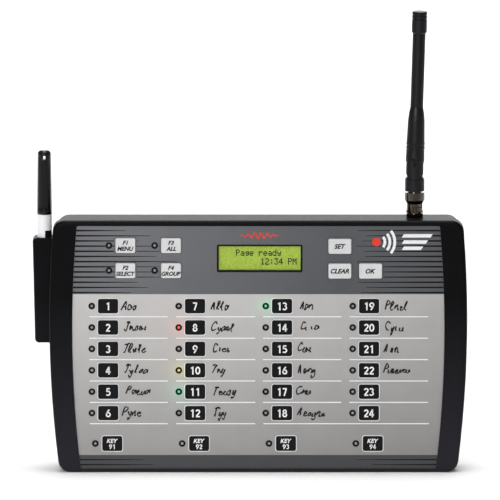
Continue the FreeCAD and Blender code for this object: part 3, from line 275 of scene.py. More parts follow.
class Nodes:
    """Short names for building a material's node tree."""

    def __init__(self, name):
        """A new material, with its shader and the object's own coordinates at hand."""
        self.material = bpy.data.materials.new(name)
        self.material.use_nodes = True
        self.tree = self.material.node_tree
        self.shader = self.tree.nodes["Principled BSDF"]
        self.place = self.add("ShaderNodeTexCoord").outputs["Object"]

    def add(self, kind, **settings):
        """A node of one kind."""
        node = self.tree.nodes.new(kind)
        for key, value in settings.items():
            setattr(node, key, value)
        return node

    def link(self, source, target):
        """Join an output to an input."""
        self.tree.links.new(source, target)

    def noise(self, scale, detail=3.0, roughness=0.5, stretch=None):
        """A cloudy pattern in the object, stretched along its axes where asked."""
        node = self.add("ShaderNodeTexNoise")
        node.inputs["Scale"].default_value = scale
        node.inputs["Detail"].default_value = detail
        node.inputs["Roughness"].default_value = roughness
        place = self.place
        if stretch:
            mapping = self.add("ShaderNodeMapping")
            mapping.inputs["Scale"].default_value = stretch
            self.link(self.place, mapping.inputs["Vector"])
            place = mapping.outputs["Vector"]
        self.link(place, node.inputs["Vector"])
        return node.outputs["Fac"]

    def math(self, operation, first, second=None):
        """A sum on one or two values, each a number or an output."""
        node = self.add("ShaderNodeMath", operation=operation)
        for socket, value in zip(node.inputs, (first, second)):
            if value is None:
                continue
            if isinstance(value, (int, float)):
                socket.default_value = value
            else:
                self.link(value, socket)
        return node.outputs[0]

    def range(self, value, low, high, out_low, out_high):
        """A value carried from one span to another, and held at its ends."""
        node = self.add("ShaderNodeMapRange")
        self.link(value, node.inputs["Value"])
        for socket, number in zip(("From Min", "From Max", "To Min", "To Max"),
                                  (low, high, out_low, out_high)):
            node.inputs[socket].default_value = number
        return node.outputs["Result"]

    def mix(self, factor, first, second):
        """Two colours mixed, each a constant or an output."""
        node = self.add("ShaderNodeMix", data_type="RGBA")
        for socket, value in ((node.inputs[0], factor), (node.inputs[6], first),
                              (node.inputs[7], second)):
            if hasattr(value, "is_linked"):
                self.link(value, socket)
            else:
                socket.default_value = value
        return node.outputs[2]

    def along(self, axis):
        """Where a point lies along one of the object's axes."""
        split = self.add("ShaderNodeSeparateXYZ")
        self.link(self.place, split.inputs[0])
        return split.outputs[axis]

    def bump(self, height, distance):
        """Relief on the shader from a pattern, of a given depth."""
        node = self.add("ShaderNodeBump")
        node.inputs["Distance"].default_value = distance
        node.inputs["Strength"].default_value = 1.0
        self.link(height, node.inputs["Height"])
        self.link(node.outputs["Normal"], self.shader.inputs["Normal"])


def shade(colour, factor):
    """A colour made darker or lighter, with its alpha."""
    return (colour[0] * factor, colour[1] * factor, colour[2] * factor, 1.0)


def plastic(name, colour, roughness=0.4, grain=0.0006, depth=0.03, variation=0.12,
            specular=0.5, coat=0.0, wear_and_sheen=0.0, ramp=1.0):
    """Moulded plastic: fine grain, slow colour drift, pointed edges paler from rubbing and painted
    sheen, and painted light that makes it paler toward the foot.
    """
    made = Nodes(name)
    drift = made.noise(22.0, 4.0)
    dust = made.noise(900.0, 2.0)
    base = made.mix(made.range(drift, 0.3, 0.7, 0.0, 1.0),
                    shade(colour, 1 - variation), shade(colour, 1 + variation))
    # Painted light: the colour runs toward a paler copy near the bottom, standing in for more
    # light on the lower part.
    if ramp != 1.0:
        base = made.mix(made.range(made.along(2), PAINTED_LIGHT_TOP, 0.0, 0.0, 1.0), base,
                        shade(colour, ramp))
    # Pointed edges go paler: partly rubbing, partly a painted sheen.
    if wear_and_sheen:
        edge = made.add("ShaderNodeNewGeometry").outputs["Pointiness"]
        rubbed_and_sheen = made.math("MULTIPLY", made.range(edge, 0.52, 0.6, 0.0, wear_and_sheen),
                           made.range(drift, 0.35, 0.65, 0.3, 1.0))
        base = made.mix(rubbed_and_sheen, base, shade(colour, 4.0))
    made.link(base, made.shader.inputs["Base Color"])
    made.link(made.range(dust, 0.3, 0.7, roughness - 0.05, roughness + 0.07),
              made.shader.inputs["Roughness"])
    made.shader.inputs["Specular IOR Level"].default_value = specular
    made.shader.inputs["Coat Weight"].default_value = coat
    if coat:
        made.shader.inputs["Coat Roughness"].default_value = 0.12
    made.bump(made.noise(1.0 / grain, 3.0, 0.6), depth * MM)
    return made.material


def metal(name, colour, roughness=0.2, brushed=(1, 1, 1)):
    """Plated or drawn metal with fine directional scratches and slight tarnish."""
    made = Nodes(name)
    scratches = made.noise(1400.0, 3.0, 0.6, brushed)
    tarnish = made.noise(260.0, 4.0)
    base = made.mix(made.range(tarnish, 0.35, 0.7, 0.0, 1.0), shade(colour, 1.1),
                    shade(colour, 0.62))
    made.link(base, made.shader.inputs["Base Color"])
    made.shader.inputs["Metallic"].default_value = 1.0
    made.link(made.range(scratches, 0.3, 0.7, roughness * 0.7, roughness * 1.4),
              made.shader.inputs["Roughness"])
    made.bump(scratches, 0.006 * MM)
    return made.material


def printed(name, low_colour, high_colour, low, high, axis=2, dim_axis=None, dim_from=0.0,
            dim_to=1.0, dim_by=0.0, roughness=0.42):
    """A velvety printed sheet: two colours run together along one axis, dimmed along another."""
    made = Nodes(name)
    drift = made.noise(60.0, 3.0)
    run = made.range(made.along(axis), low, high, 0.0, 1.0)
    base = made.mix(run, low_colour, high_colour)
    if dim_axis is not None:
        dimming = made.range(made.along(dim_axis), dim_from, dim_to, 0.0, dim_by)
        base = made.mix(dimming, base, BLACK)
    base = made.mix(made.range(drift, 0.3, 0.7, 0.0, 0.06), base, BLACK)
    made.link(base, made.shader.inputs["Base Color"])
    velvet = made.noise(2600.0, 2.0, 0.6)
    made.link(made.range(velvet, 0.3, 0.7, roughness - 0.05, roughness + 0.08),
              made.shader.inputs["Roughness"])
    made.bump(velvet, 0.012 * MM)
    return made.material


def ink(name, colour, roughness=0.45, specular=0.2):
    """Screen-printing ink: nearly even, with a faint mottle and film texture."""
    made = Nodes(name)
    made.shader.inputs["Specular IOR Level"].default_value = specular
    mottle = made.noise(1800.0, 3.0)
    base = made.mix(made.range(mottle, 0.3, 0.7, 0.0, 1.0), shade(colour, 0.92),
                    shade(colour, 1.06))
    made.link(base, made.shader.inputs["Base Color"])
    made.link(made.range(mottle, 0.3, 0.7, roughness - 0.06, roughness + 0.06),
              made.shader.inputs["Roughness"])
    made.bump(mottle, 0.008 * MM)
    return made.material


def glowing(name, colour, strength, roughness=0.25):
    """Lens resin over a lamp: brighter in a soft spot, with a slightly cloudy body."""
    made = Nodes(name)
    cloud = made.noise(900.0, 2.0)
    base = made.mix(made.range(cloud, 0.3, 0.7, 0.0, 1.0), shade(colour, 0.85), shade(colour, 1.1))
    made.link(base, made.shader.inputs["Base Color"])
    made.link(base, made.shader.inputs["Emission Color"])
    made.shader.inputs["Emission Strength"].default_value = strength
    made.link(made.range(cloud, 0.3, 0.7, roughness - 0.05, roughness + 0.05),
              made.shader.inputs["Roughness"])
    return made.material


def clear(name):
    """A clear pane with faint surface ripple."""
    made = Nodes(name)
    made.shader.inputs["Base Color"].default_value = (0.94, 0.96, 0.93, 1.0)
    made.shader.inputs["Transmission Weight"].default_value = 1.0
    made.shader.inputs["IOR"].default_value = 1.3
    ripple = made.noise(500.0, 2.0)
    made.link(made.range(ripple, 0.3, 0.7, 0.0, 0.015), made.shader.inputs["Roughness"])
    made.bump(ripple, 0.0005 * MM)
    return made.material


# The case's lower part is painted paler as painted light, and its edges take a painted sheen as
# well as rubbing.
BLACK_CASE = plastic("case_black", (0.0026, 0.0026, 0.0033), 0.38, 0.0009, 0.05, specular=0.06,
                     wear_and_sheen=0.15, ramp=7.5)
BLACK_ANTENNA = plastic("antenna_black", (0.007, 0.007, 0.009), 0.34, 0.0005, 0.02, specular=0.22,
                        wear_and_sheen=0.2)
BLACK_KEY = plastic("key_black", (0.004, 0.004, 0.005), 0.38, 0.0005, 0.012, specular=0.12)
WHITE_KEY = plastic("key_white", (0.66, 0.66, 0.665), 0.45, 0.0005, 0.012, variation=0.04)
# The flute crests are painted paler as painted highlight streaks.
GLOSS_BLACK = plastic("cap_black", (0.0030, 0.0030, 0.0038), 0.18, 0.0009, 0.012,
                      specular=0.24, coat=0.15, wear_and_sheen=0.8)
MARKER_WHITE = plastic("marker_white", (0.97, 0.97, 0.99), 0.28, 0.002, 0.006, variation=0.02,
                       coat=0.3)
RUBBER = plastic("rubber", (0.03, 0.03, 0.032), 0.75, 0.0004, 0.03)
BOARD_GREEN = plastic("board_green", (0.015, 0.10, 0.04), 0.35, 0.0015, 0.02)
FELT = plastic("felt", (0.01, 0.01, 0.012), 0.95, 0.0002, 0.05)
NICKEL = metal("nickel", (0.115, 0.098, 0.082), 0.07)
PLATE_FOIL = plastic("plate_foil", (0.30, 0.30, 0.31), 0.42, 0.0006, 0.01, variation=0.05)
TIN = metal("tin", (0.62, 0.62, 0.60), 0.4, (1, 8, 1))
ZINC = metal("zinc", (0.5, 0.5, 0.52), 0.3)
LIGHT_PRINT = printed("print_light", (0.293, 0.284, 0.279, 1.0), (0.550, 0.534, 0.524, 1.0),
                      FOOT_STRIP_TOP, LIGHT_ZONE_TOP, dim_axis=0, dim_from=-0.045, dim_to=0.13,
                      dim_by=0.24)
DARK_PRINT = printed("print_dark", (0.150, 0.153, 0.166, 1.0), (0.074, 0.076, 0.085, 1.0),
                     -0.10, 0.06, axis=0, dim_axis=2, dim_from=0.178, dim_to=0.135, dim_by=0.13)
FOOT_PRINT = printed("print_foot", (0.036, 0.037, 0.041, 1.0), (0.030, 0.031, 0.034, 1.0),
                     -0.12, 0.12, axis=0)
BLACK_INK = ink("ink_black", (0.006, 0.006, 0.007), specular=0.1)
WHITE_INK = ink("ink_white", (0.86, 0.86, 0.87))
RED_INK = ink("ink_red", (0.78, 0.045, 0.020))
PEN_INK = ink("ink_pen", (0.014, 0.014, 0.016), 0.35)
# Painted highlight: the embossed rims are painted paler than the sheet round them, for the light
# their edges catch.
RIM_HIGHLIGHT = ink("rim_painted_highlight", (0.78, 0.78, 0.78), 0.35, 0.5)
LENS_OFF = glowing("lens_off", (0.42, 0.42, 0.40), 0.0, 0.12)
LENS_LIT = {
    "red": glowing("lens_red", (0.78, 0.12, 0.06), 0.45),
    "yellow": glowing("lens_yellow", (0.58, 0.54, 0.06), 0.30),
    "green": glowing("lens_green", (0.06, 0.50, 0.24), 0.35),
}
LAMP_COLOURS = {"red": (1.0, 0.10, 0.05), "yellow": (1.0, 0.85, 0.05), "green": (0.05, 1.0, 0.45)}
PANE = clear("pane")
CRYSTAL = glowing("crystal_green", (0.345, 0.475, 0.035), 0.46, 0.3)
DOT_INK = ink("dots_dark", (0.010, 0.018, 0.003))


# --- the CAD nodes that stay ---------------------------------------------------------------------

def dress(material, *names):
    """Give CAD nodes their material."""
    for name in names:
        node = NODES[name]
        node.data.materials.clear()
        node.data.materials.append(material)
        for polygon in node.data.polygons:
            polygon.material_index = 0


dress(BLACK_CASE, "front_shell", "rear_shell", "marker_holder")
dress(BLACK_KEY, *NUMBER_KEYS, *MANAGER_KEYS)
dress(WHITE_KEY, *WHITE_KEYS)
dress(BLACK_ANTENNA, "antenna_whip", "knuckle_base")
dress(NICKEL, "antenna_jack", "jack_nut", "coupling_ring", "plug_body", "knuckle_pin")
dress(RUBBER, "key_mat", "rubber_feet")
dress(BOARD_GREEN, "main_board")
dress(TIN, "radio_module", "display_frame")
dress(ZINC, "case_screws", "board_screws")
dress(BLACK_KEY, "power_inlet")
dress(MARKER_WHITE, "marker_barrel")
dress(FELT, "marker_nib")


# --- the printed face ----------------------------------------------------------------------------

def make_face_sheet():
    """The face sheet with its openings, cut into three printed zones."""
    bm = cad_copy("face_overlay")
    for height in (FOOT_STRIP_TOP, LIGHT_ZONE_TOP):
        cut_level(bm, height)
    for face in bm.faces:
        height = face.calc_center_median().z
        face.material_index = (height > FOOT_STRIP_TOP) + (height > LIGHT_ZONE_TOP)
    piece = add_piece("printed_sheet", finish_mesh("printed_sheet", bm),
                      [FOOT_PRINT, LIGHT_PRINT, DARK_PRINT], "console",
                      smooth=False)
    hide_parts("face_overlay")


def sheet_half_width(height):
    """Half the width of the face sheet, whose sides are arcs, at one height."""
    radius, widest = 879.9 * MM, 105 * MM
    return SHEET_HIGH.x - radius + math.sqrt(radius ** 2 - (height - widest) ** 2)


def openings_at(height):
    """The (left, right) spans at one height that keys and lights take out of the face."""
    key_above, key_beside = 0.9 * MM, 0.4 * MM
    light_above, light_beside = 2.7 * MM, 2.5 * MM
    spans = []
    for key in WHITE_KEYS:
        middle, width, tall = key_cap(key)
        if abs(height - middle.z) < tall / 2 + key_above:
            spans.append((middle.x - width / 2 - key_beside, middle.x + width / 2 + key_beside))
    for x, z in light_places().values():
        if abs(height - z) < light_above:
            spans.append((x - light_beside, x + light_beside))
    return spans


def add_stripe(bm, edge, tip, height, half):
    """A stripe from the face's edge that thins to a quarter at its tip, broken at openings."""
    shortest = 0.2 * MM
    pieces = [(min(edge, tip), max(edge, tip))]
    for low, high in openings_at(height):
        kept = []
        for start, end in pieces:
            if high <= start or low >= end:
                kept.append((start, end))
                continue
            kept += [span for span in ((start, low), (high, end)) if span[1] - span[0] > shortest]
        pieces = kept
    for start, end in pieces:
        thick = [half * (1 - 0.75 * (x - edge) / (tip - edge)) for x in (start, end)]
        outline = [(start, height - thick[0]), (end, height - thick[1]),
                   (end, height + thick[1]), (start, height + thick[0])]
        add_prism(bm, outline, LINE_FRONT, INK_BACK)


def make_speed_stripes():
    """Black stripes that run in from the sides of the dark zones and taper to a point."""
    bm = bmesh.new()
    margin, half, foot_half = 0.15 * MM, 0.66 * MM, 0.55 * MM
    count, first, pitch = 13, 133.4 * MM, 3.82 * MM
    for line in range(count):
        height = first + line * pitch
        edge = sheet_half_width(height) - margin
        up = line / (count - 1)
        left_end = (-92 + 26 * math.sin(math.pi * up) + 8 * math.sin(line * 2.4)) * MM
        right_end = (76 + 4 * math.sin(line * 1.9)) * MM
        add_stripe(bm, -edge, left_end + ART_X, height, half)
        add_stripe(bm, edge, right_end + ART_X, height, half)
    for height, left_end, right_end in ((9.4, -83, 72), (5.7, -76, 84)):
        edge = sheet_half_width(height * MM) - margin
        add_stripe(bm, -edge, left_end * MM + ART_X, height * MM, foot_half)
        add_stripe(bm, edge, right_end * MM + ART_X, height * MM, foot_half)
    add_print("speed_stripes", bm, BLACK_INK)


def make_separators():
    """White lines between the rows of numbered keys."""
    bm = bmesh.new()
    half = 0.33 * MM
    row_gap = 7.9 * MM
    for row in range(6):
        height = centre_of(NUMBER_KEYS[row]).z - row_gap
        spans = [(-122.4, -65.3), (-59.1, -1.3), (4.3, 61.6), (67.5, 124.9)]
        if row == 5:
            spans = spans[:2] + [(4.7, 125.6)]
        for left, right in spans:
            outline = box_outline(left * MM + ART_X, height - half, right * MM + ART_X,
                                  height + half)
            add_prism(bm, outline, LINE_FRONT, INK_BACK)
    add_print("separator_lines", bm, WHITE_INK)


def make_key_rims():
    """The embossed rim round each key: painted pale on the light zone as a painted highlight,
    print grey on the dark one.
    """
    corner = 1.2 * MM
    section = [(0.28, 0.0), (0.32, -0.16), (0.46, -0.24), (0.62, -0.24), (0.78, -0.15),
               (0.88, 0.0), (0.6, 0.1)]
    section = [(offset * MM, FACE_Y + depth * MM) for offset, depth in section]
    for name, keys, material in (("key_rims", NUMBER_KEYS + MANAGER_KEYS, RIM_HIGHLIGHT),
                                 ("dark_key_rims", WHITE_KEYS, DARK_PRINT)):
        bm = bmesh.new()
        for key in keys:
            middle, width, height = key_cap(key)
            add_loop(bm, box_path(middle.x, middle.z, width, height, corner), section)
        add_piece(name, finish_mesh(name, bm), [material], "console")


# --- status lights -------------------------------------------------------------------------------

def light_places():
    """Each light's (x, z), by the key it belongs to."""
    places = {}
    for keys, shift in ((NUMBER_KEYS, 11.9), (MANAGER_KEYS, 12.4), (list(WHITE_KEYS)[:4], 12.0)):
        for key in keys:
            middle = centre_of(key)
            places[key] = (middle.x - shift * MM, middle.z)
    return places


def add_lens(bm, x, z):
    """A round-nosed lens that stands on the board and ends in its opening."""
    low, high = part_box("status_leds")
    radius, nose, steps = 1.45 * MM, 1.0 * MM, 6
    rings, sides = [], 24
    profile = [(radius, high.y), (radius, low.y + nose)]
    for step in range(1, steps):
        turn = math.pi / 2 * step / steps
        profile.append((radius * math.cos(turn), low.y + nose * (1 - math.sin(turn))))
    for reach, depth in profile:
        rings.append([bm.verts.new((x + reach * math.cos(2 * math.pi * side / sides), depth,
                                    z + reach * math.sin(2 * math.pi * side / sides)))
                      for side in range(sides)])
    close_tube(bm, rings)


def make_lights():
    """The unlit lenses as one piece, each lit one with its lamp, and the black bezels."""
    bezel_radius, lamp_power, lamp_radius, lamp_reach = 2.1 * MM, 0.0006, 1.5 * MM, 5.0 * MM
    places = light_places()
    bm = bmesh.new()
    for key, (x, z) in places.items():
        if key not in LIT_LIGHTS:
            add_lens(bm, x, z)
    lenses = add_piece("status_lenses", finish_mesh("status_lenses", bm), [LENS_OFF], "console")
    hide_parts("status_leds")
    bm = bmesh.new()
    section = [(-1.1, 0.1), (-1.1, -0.05), (-0.8, -0.16), (0.15, -0.16), (0.4, 0.0), (0.3, 0.1)]
    section = [(offset * MM, FACE_Y + depth * MM) for offset, depth in section]
    for x, z in places.values():
        add_loop(bm, round_path(x, z, bezel_radius), section)
    add_piece("light_bezels", finish_mesh("light_bezels", bm), [BLACK_INK], "console")
    for key, colour in LIT_LIGHTS.items():
        x, z = places[key]
        bm = bmesh.new()
        add_lens(bm, x, z)
        add_piece(f"lit_lens_{key}", finish_mesh(f"lit_lens_{key}", bm), [LENS_LIT[colour]],
                  "console")
        lamp = bpy.data.lights.new(f"glow_{key}", "POINT")
        lamp.color = LAMP_COLOURS[colour]
        lamp.energy = lamp_power
        lamp.shadow_soft_size = lamp_radius
        glow = bpy.data.objects.new(f"glow_{key}", lamp)
        glow.location = (x, FACE_Y - lamp_reach, z)
        show(glow)


# --- key legends ---------------------------------------------------------------------------------

def add_legend(key, text, height, lift, material, weight, slant, spacing=1.0, part=""):
    """A word on a key's top."""
    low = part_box(key)[0]
    middle = centre_of(key)
    name = f"legend_{key}{part}"
    mesh = text_mesh(name, text, height, weight, slant, spacing)
    mesh.transform(Matrix.Translation((middle.x, low.y, middle.z + lift)))
    add_piece(name, mesh, [material], key, smooth=False)


def arc(x, z, radius_x, radius_z, start, end, steps=14):
    """Points along part of an ellipse, between two turns in degrees."""
    turns = [math.radians(start + (end - start) * step / steps) for step in range(steps + 1)]
    return [(x + radius_x * math.cos(turn), z + radius_z * math.sin(turn)) for turn in turns]


# Strokes of each digit about its centre, for a digit one unit tall.
DIGIT_STROKES = {
    "0": [arc(0, 0, 0.23, 0.41, 0, 360, 30)],
    "1": [[(0.06, -0.5), (0.06, 0.5)], [(0.06, 0.41), (-0.16, 0.27)]],
    "2": [arc(0, 0.2, 0.21, 0.21, 170, -35) + [(-0.2, -0.39)], [(-0.25, -0.41), (0.25, -0.41)]],
    "3": [arc(-0.03, 0.22, 0.2, 0.19, 150, -90), arc(-0.03, -0.19, 0.23, 0.22, 90, -150)],
    "4": [[(0.1, -0.5), (0.1, 0.5)], [(0.08, 0.44), (-0.24, -0.16)],
          [(-0.29, -0.19), (0.3, -0.19)]],
    "5": [[(0.21, 0.41), (-0.17, 0.41)], [(-0.13, 0.46), (-0.17, 0.0)],
          arc(-0.03, -0.16, 0.25, 0.25, 128, -140)],
    "6": [arc(0, -0.17, 0.23, 0.24, 0, 360, 26), [(-0.21, -0.08), (-0.08, 0.2), (0.13, 0.47)]],
    "7": [[(-0.25, 0.41), (0.25, 0.41)], [(0.2, 0.4), (-0.08, -0.5)]],
    "8": [arc(0, 0.22, 0.18, 0.19, 0, 360, 24), arc(0, -0.2, 0.22, 0.21, 0, 360, 26)],
    "9": [arc(0, 0.17, 0.23, 0.24, 0, 360, 26), [(0.21, 0.08), (0.08, -0.2), (-0.13, -0.47)]],
}


def add_number(key, number, tall=5.9 * MM, stroke=1.0 * MM, pitch=3.95 * MM, lift=0.0):
    """A key's number in bold strokes on its top."""
    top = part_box(key)[0].y
    middle = centre_of(key)
    digits = str(number)
    bm = bmesh.new()
    for place, digit in enumerate(digits):
        left = middle.x + (place - (len(digits) - 1) / 2) * pitch
        for line in DIGIT_STROKES[digit]:
            points = [(left + x * tall, middle.z + lift + z * tall) for x, z in line]
            add_ribbon(bm, points, [stroke] * len(points), top - INK, top + INK / 2)
    add_print(f"legend_{key}", bm, WHITE_INK, key)


def make_legends():
    """Numbers on the black keys and words on the white ones."""
    slant, weight, row = 0.3, 0.04, 2.2 * MM
    for number, key in enumerate(NUMBER_KEYS, start=1):
        add_number(key, number)
    for number, key in enumerate(MANAGER_KEYS, start=91):
        add_legend(key, "KEY", 3.1 * MM, 2.1 * MM, WHITE_INK, 0.03, 0.25, 1.0, "_top")
        add_number(key, number, 3.5 * MM, 0.68 * MM, 2.5 * MM, -2.25 * MM)
    for key, lines in WHITE_KEYS.items():
        if len(lines) == 2:
            add_legend(key, lines[0], 3.2 * MM, row, BLACK_INK, weight, slant, 1.05, "_top")
            add_legend(key, lines[1], 3.2 * MM, -row, BLACK_INK, weight, slant, 0.98, "_foot")
        else:
            add_legend(key, lines[0], 3.6 * MM, 0, BLACK_INK, weight, slant)


# --- handwriting ---------------------------------------------------------------------------------

# How many small shapes each key's scribble has, key by key.
NAME_LETTERS = [3, 5, 5, 5, 5, 4, 4, 5, 4, 3, 5, 3, 3, 4, 3, 4, 3, 6, 5, 4, 3, 6, 0, 0]

# Pen movements of one unit's width and one unit's small-letter height.
SMALL_STROKES = [
    [(0.0, 0.1), (0.08, 1.0), (0.12, 0.5), (0.4, 1.0), (0.6, 0.7), (0.66, 0.05), (0.9, 0.1)],
    [(0.62, 0.85), (0.3, 1.0), (0.05, 0.5), (0.25, 0.0), (0.58, 0.4), (0.64, 0.9), (0.68, 0.1)],
    [(0.05, 0.45), (0.5, 0.65), (0.35, 1.0), (0.06, 0.5), (0.3, 0.0), (0.8, 0.25)],
    [(0.05, 0.3), (0.4, 1.7), (0.25, 1.95), (0.15, 1.1), (0.2, 0.1), (0.55, 0.05)],
    [(0.0, 0.9), (0.1, 0.2), (0.4, 0.15), (0.62, 0.95), (0.5, -0.6), (0.2, -0.9), (0.1, -0.5)],
    [(0.0, 0.9), (0.08, 0.1), (0.4, 0.05), (0.6, 0.9), (0.64, 0.1), (0.85, 0.05)],
    [(0.1, 0.9), (0.14, 0.05), (0.45, 0.1)],
]
FIRST_STROKES = [
    [(0.75, 1.75), (0.35, 2.1), (0.0, 1.1), (0.25, 0.05), (0.8, 0.35)],
    [(0.1, 0.0), (0.2, 2.0), (0.7, 1.9), (0.65, 1.2), (0.15, 1.0)],
    [(0.0, 1.7), (0.5, 2.0), (0.95, 1.9), (0.55, 1.8), (0.4, 0.0), (0.1, 0.2)],
    [(0.0, 0.0), (0.35, 2.0), (0.65, 0.1), (0.5, 0.8), (0.15, 0.75)],
]


def smooth_line(points, steps=5):
    """A smooth curve through given points."""
    curve = []
    ends = [points[0]] + points + [points[-1]]
    for before, start, end, after in zip(ends, ends[1:], ends[2:], ends[3:]):
        for step in range(steps):
            part = step / steps
            curve.append(tuple(
                0.5 * (2 * b + (c - a) * part + (2 * a - 5 * b + 4 * c - d) * part ** 2
                       + (3 * b - a - 3 * c + d) * part ** 3)
                for a, b, c, d in zip(before, start, end, after)))
    curve.append(points[-1])
    return curve


def scribble(draw, letters, x, z):
    """An unreadable pen scribble: one tall shape, then small ones that run on."""
    wide, tall, slant = 3.25 * MM, 3.0 * MM, 0.24
    lines = []
    for letter in range(letters):
        shapes = SMALL_STROKES if letter else FIRST_STROKES
        shape = shapes[draw.randrange(len(shapes))]
        line = []
        for across, up in shape:
            across += draw.uniform(-0.19, 0.19)
            up += draw.uniform(-0.22, 0.22)
            line.append((x + across * wide * 1.1 + slant * up * tall, z + up * tall))
        lines.append(smooth_line(line))
        x += (0.98 if letter else 1.2) * wide * draw.uniform(0.95, 1.1)
        z += draw.uniform(-0.15, 0.15) * MM
    return lines


def make_handwriting():
    """A pen scribble beside each of the first 22 keys."""
    pen_width, pen_swell = 0.97, 0.20
    draw = random.Random(31)
    bm = bmesh.new()
    for key, letters in zip(NUMBER_KEYS, NAME_LETTERS):
        if not letters:
            continue
        middle = centre_of(key)
        start_x = middle.x + draw.uniform(10.0, 13.2) * MM
        foot_z = middle.z + draw.uniform(-2.6, -1.8) * MM
        for line in scribble(draw, letters, start_x, foot_z):
            widths = [(pen_width + pen_swell * math.sin(index * 0.55)) * MM
                      for index in range(len(line))]
            add_ribbon(bm, line, widths, MARK_FRONT, INK_BACK)
    add_print("pen_names", bm, PEN_INK)


# --- display -------------------------------------------------------------------------------------

GLYPHS = {
    "P": ("11110", "10001", "10001", "11110", "10000", "10000", "10000"),
    "M": ("10001", "11011", "10101", "10101", "10001", "10001", "10001"),
    "a": ("00000", "00000", "01110", "00001", "01111", "10001", "01111"),
    "d": ("00001", "00001", "01101", "10011", "10001", "10001", "01111"),
    "e": ("00000", "00000", "01110", "10001", "11111", "10000", "01110"),
    "g": ("00000", "00000", "01111", "10001", "01111", "00001", "01110"),
    "r": ("00000", "00000", "10110", "11001", "10000", "10000", "10000"),
    "y": ("00000", "00000", "10001", "10001", "01111", "00001", "01110"),
    "1": ("00100", "01100", "00100", "00100", "00100", "00100", "01110"),
    "2": ("01110", "10001", "00001", "00110", "01000", "10000", "11111"),
    "3": ("11111", "00010", "00100", "00010", "00001", "10001", "01110"),
    "4": ("00010", "00110", "01010", "10010", "11111", "00010", "00010"),
    ":": ("00000", "00100", "00100", "00000", "00100", "00100", "00000"),
}


def make_display():
    """The lit crystal field, its two lines of dots, and the black-edged pane in front."""
    glass_low, glass_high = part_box("display_glass")
    bm = bmesh.new()
    outline = box_outline(glass_low.x, glass_low.z, glass_high.x, glass_high.z)
    add_prism(bm, outline, glass_low.y, glass_high.y)
    field = add_piece("crystal_field", finish_mesh("crystal_field", bm), [CRYSTAL], "console",
                      smooth=False)
    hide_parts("display_glass")
    bm = bmesh.new()
    step_x, step_z = 0.555 * MM, 0.66 * MM
    half_dot_x, half_dot_z = 0.35 * MM, 0.35 * MM * 1.2
    dot_front, dot_back = glass_low.y - 0.06 * MM, glass_low.y + 0.02 * MM
    advance = 6 * step_x
    middle = centre_of("display_window")
    upper_left = middle.x - 21.0 * MM + 1.2 * advance
    lower_left = PANE_HIGH.x - 3.2 * MM - len("12:34 PM") * advance
    lines = (("Page ready", upper_left, middle.z + 5.6 * MM),
             ("12:34 PM", lower_left, middle.z - 0.9 * MM))
    for text, left, top in lines:
        for place, letter in enumerate(text):
            for row, dots in enumerate(GLYPHS.get(letter, ())):
                for column, lit in enumerate(dots):
                    if lit == "1":
                        x = left + place * advance + column * step_x
                        z = top - row * step_z
                        outline = box_outline(x - half_dot_x, z - half_dot_z,
                                              x + half_dot_x, z + half_dot_z)
                        add_prism(bm, outline, dot_front, dot_back)
    add_piece("crystal_dots", finish_mesh("crystal_dots", bm), [DOT_INK], "console",
              smooth=False)
    bm = bmesh.new()
    outline = box_outline(PANE_LOW.x, PANE_LOW.z, PANE_HIGH.x, PANE_HIGH.z)
    add_prism(bm, outline, PANE_LOW.y, PANE_HIGH.y - 0.1 * MM)
    pane = add_piece("window_pane", finish_mesh("window_pane", bm), [PANE], "console",
                     smooth=False)
    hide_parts("display_window")
    bm = bmesh.new()
    width, height = PANE_HIGH.x - PANE_LOW.x, PANE_HIGH.z - PANE_LOW.z
    section = [(offset * MM, FACE_Y + depth * MM) for offset, depth in
               ((-1.0, -0.02), (-0.8, -0.10), (0.15, -0.10), (0.35, 0.0), (0.3, 0.08),
                (-1.0, 0.03))]
    add_loop(bm, box_path(middle.x, middle.z, width, height, 0.8 * MM), section)
    add_piece("window_border", finish_mesh("window_border", bm), [BLACK_INK], "console")


# --- generic marks -------------------------------------------------------------------------------

def make_marks():
    """A red dot with white signal arcs and bars at the top right, and a small red wave."""
    x, z = 87.0 * MM + ART_X, 170.8 * MM
    dot_radius, arc_width, wave_width = 3.1 * MM, 2.0 * MM, 0.85 * MM
    bm = bmesh.new()
    add_prism(bm, [point for point, _ in round_path(x, z, dot_radius)], MARK_FRONT, INK_BACK)
    steps = 80
    wave = [((-12.0 + 27.5 * step / steps) * MM + ART_X,
             (175.6 + 2.3 * math.sin(step * 0.47) * math.cos(math.pi * (step / steps - 0.5))) * MM)
            for step in range(steps + 1)]
    add_ribbon(bm, wave, [wave_width] * len(wave), MARK_FRONT, INK_BACK)
    add_print("red_marks", bm, RED_INK)
    bm = bmesh.new()
    for radius in (6.2, 9.8, 13.4):
        points = arc(x, z, radius * MM, radius * MM, -38, 38, 24)
        add_ribbon(bm, points, [arc_width] * len(points), MARK_FRONT, INK_BACK)
    lean, half_bar = 1.6 * MM, 1.3
    left = x + 18.5 * MM
    for height, length in ((4.6, 21.0), (0.0, 17.5), (-4.6, 14.0)):
        low, high = z + (height - half_bar) * MM, z + (height + half_bar) * MM
        right = left + length * MM
        outline = [(left, low), (right, low), (right + lean, high), (left + lean, high)]
        add_prism(bm, outline, MARK_FRONT, INK_BACK)
    add_print("white_marks", bm, WHITE_INK)


# --- marker --------------------------------------------------------------------------------------

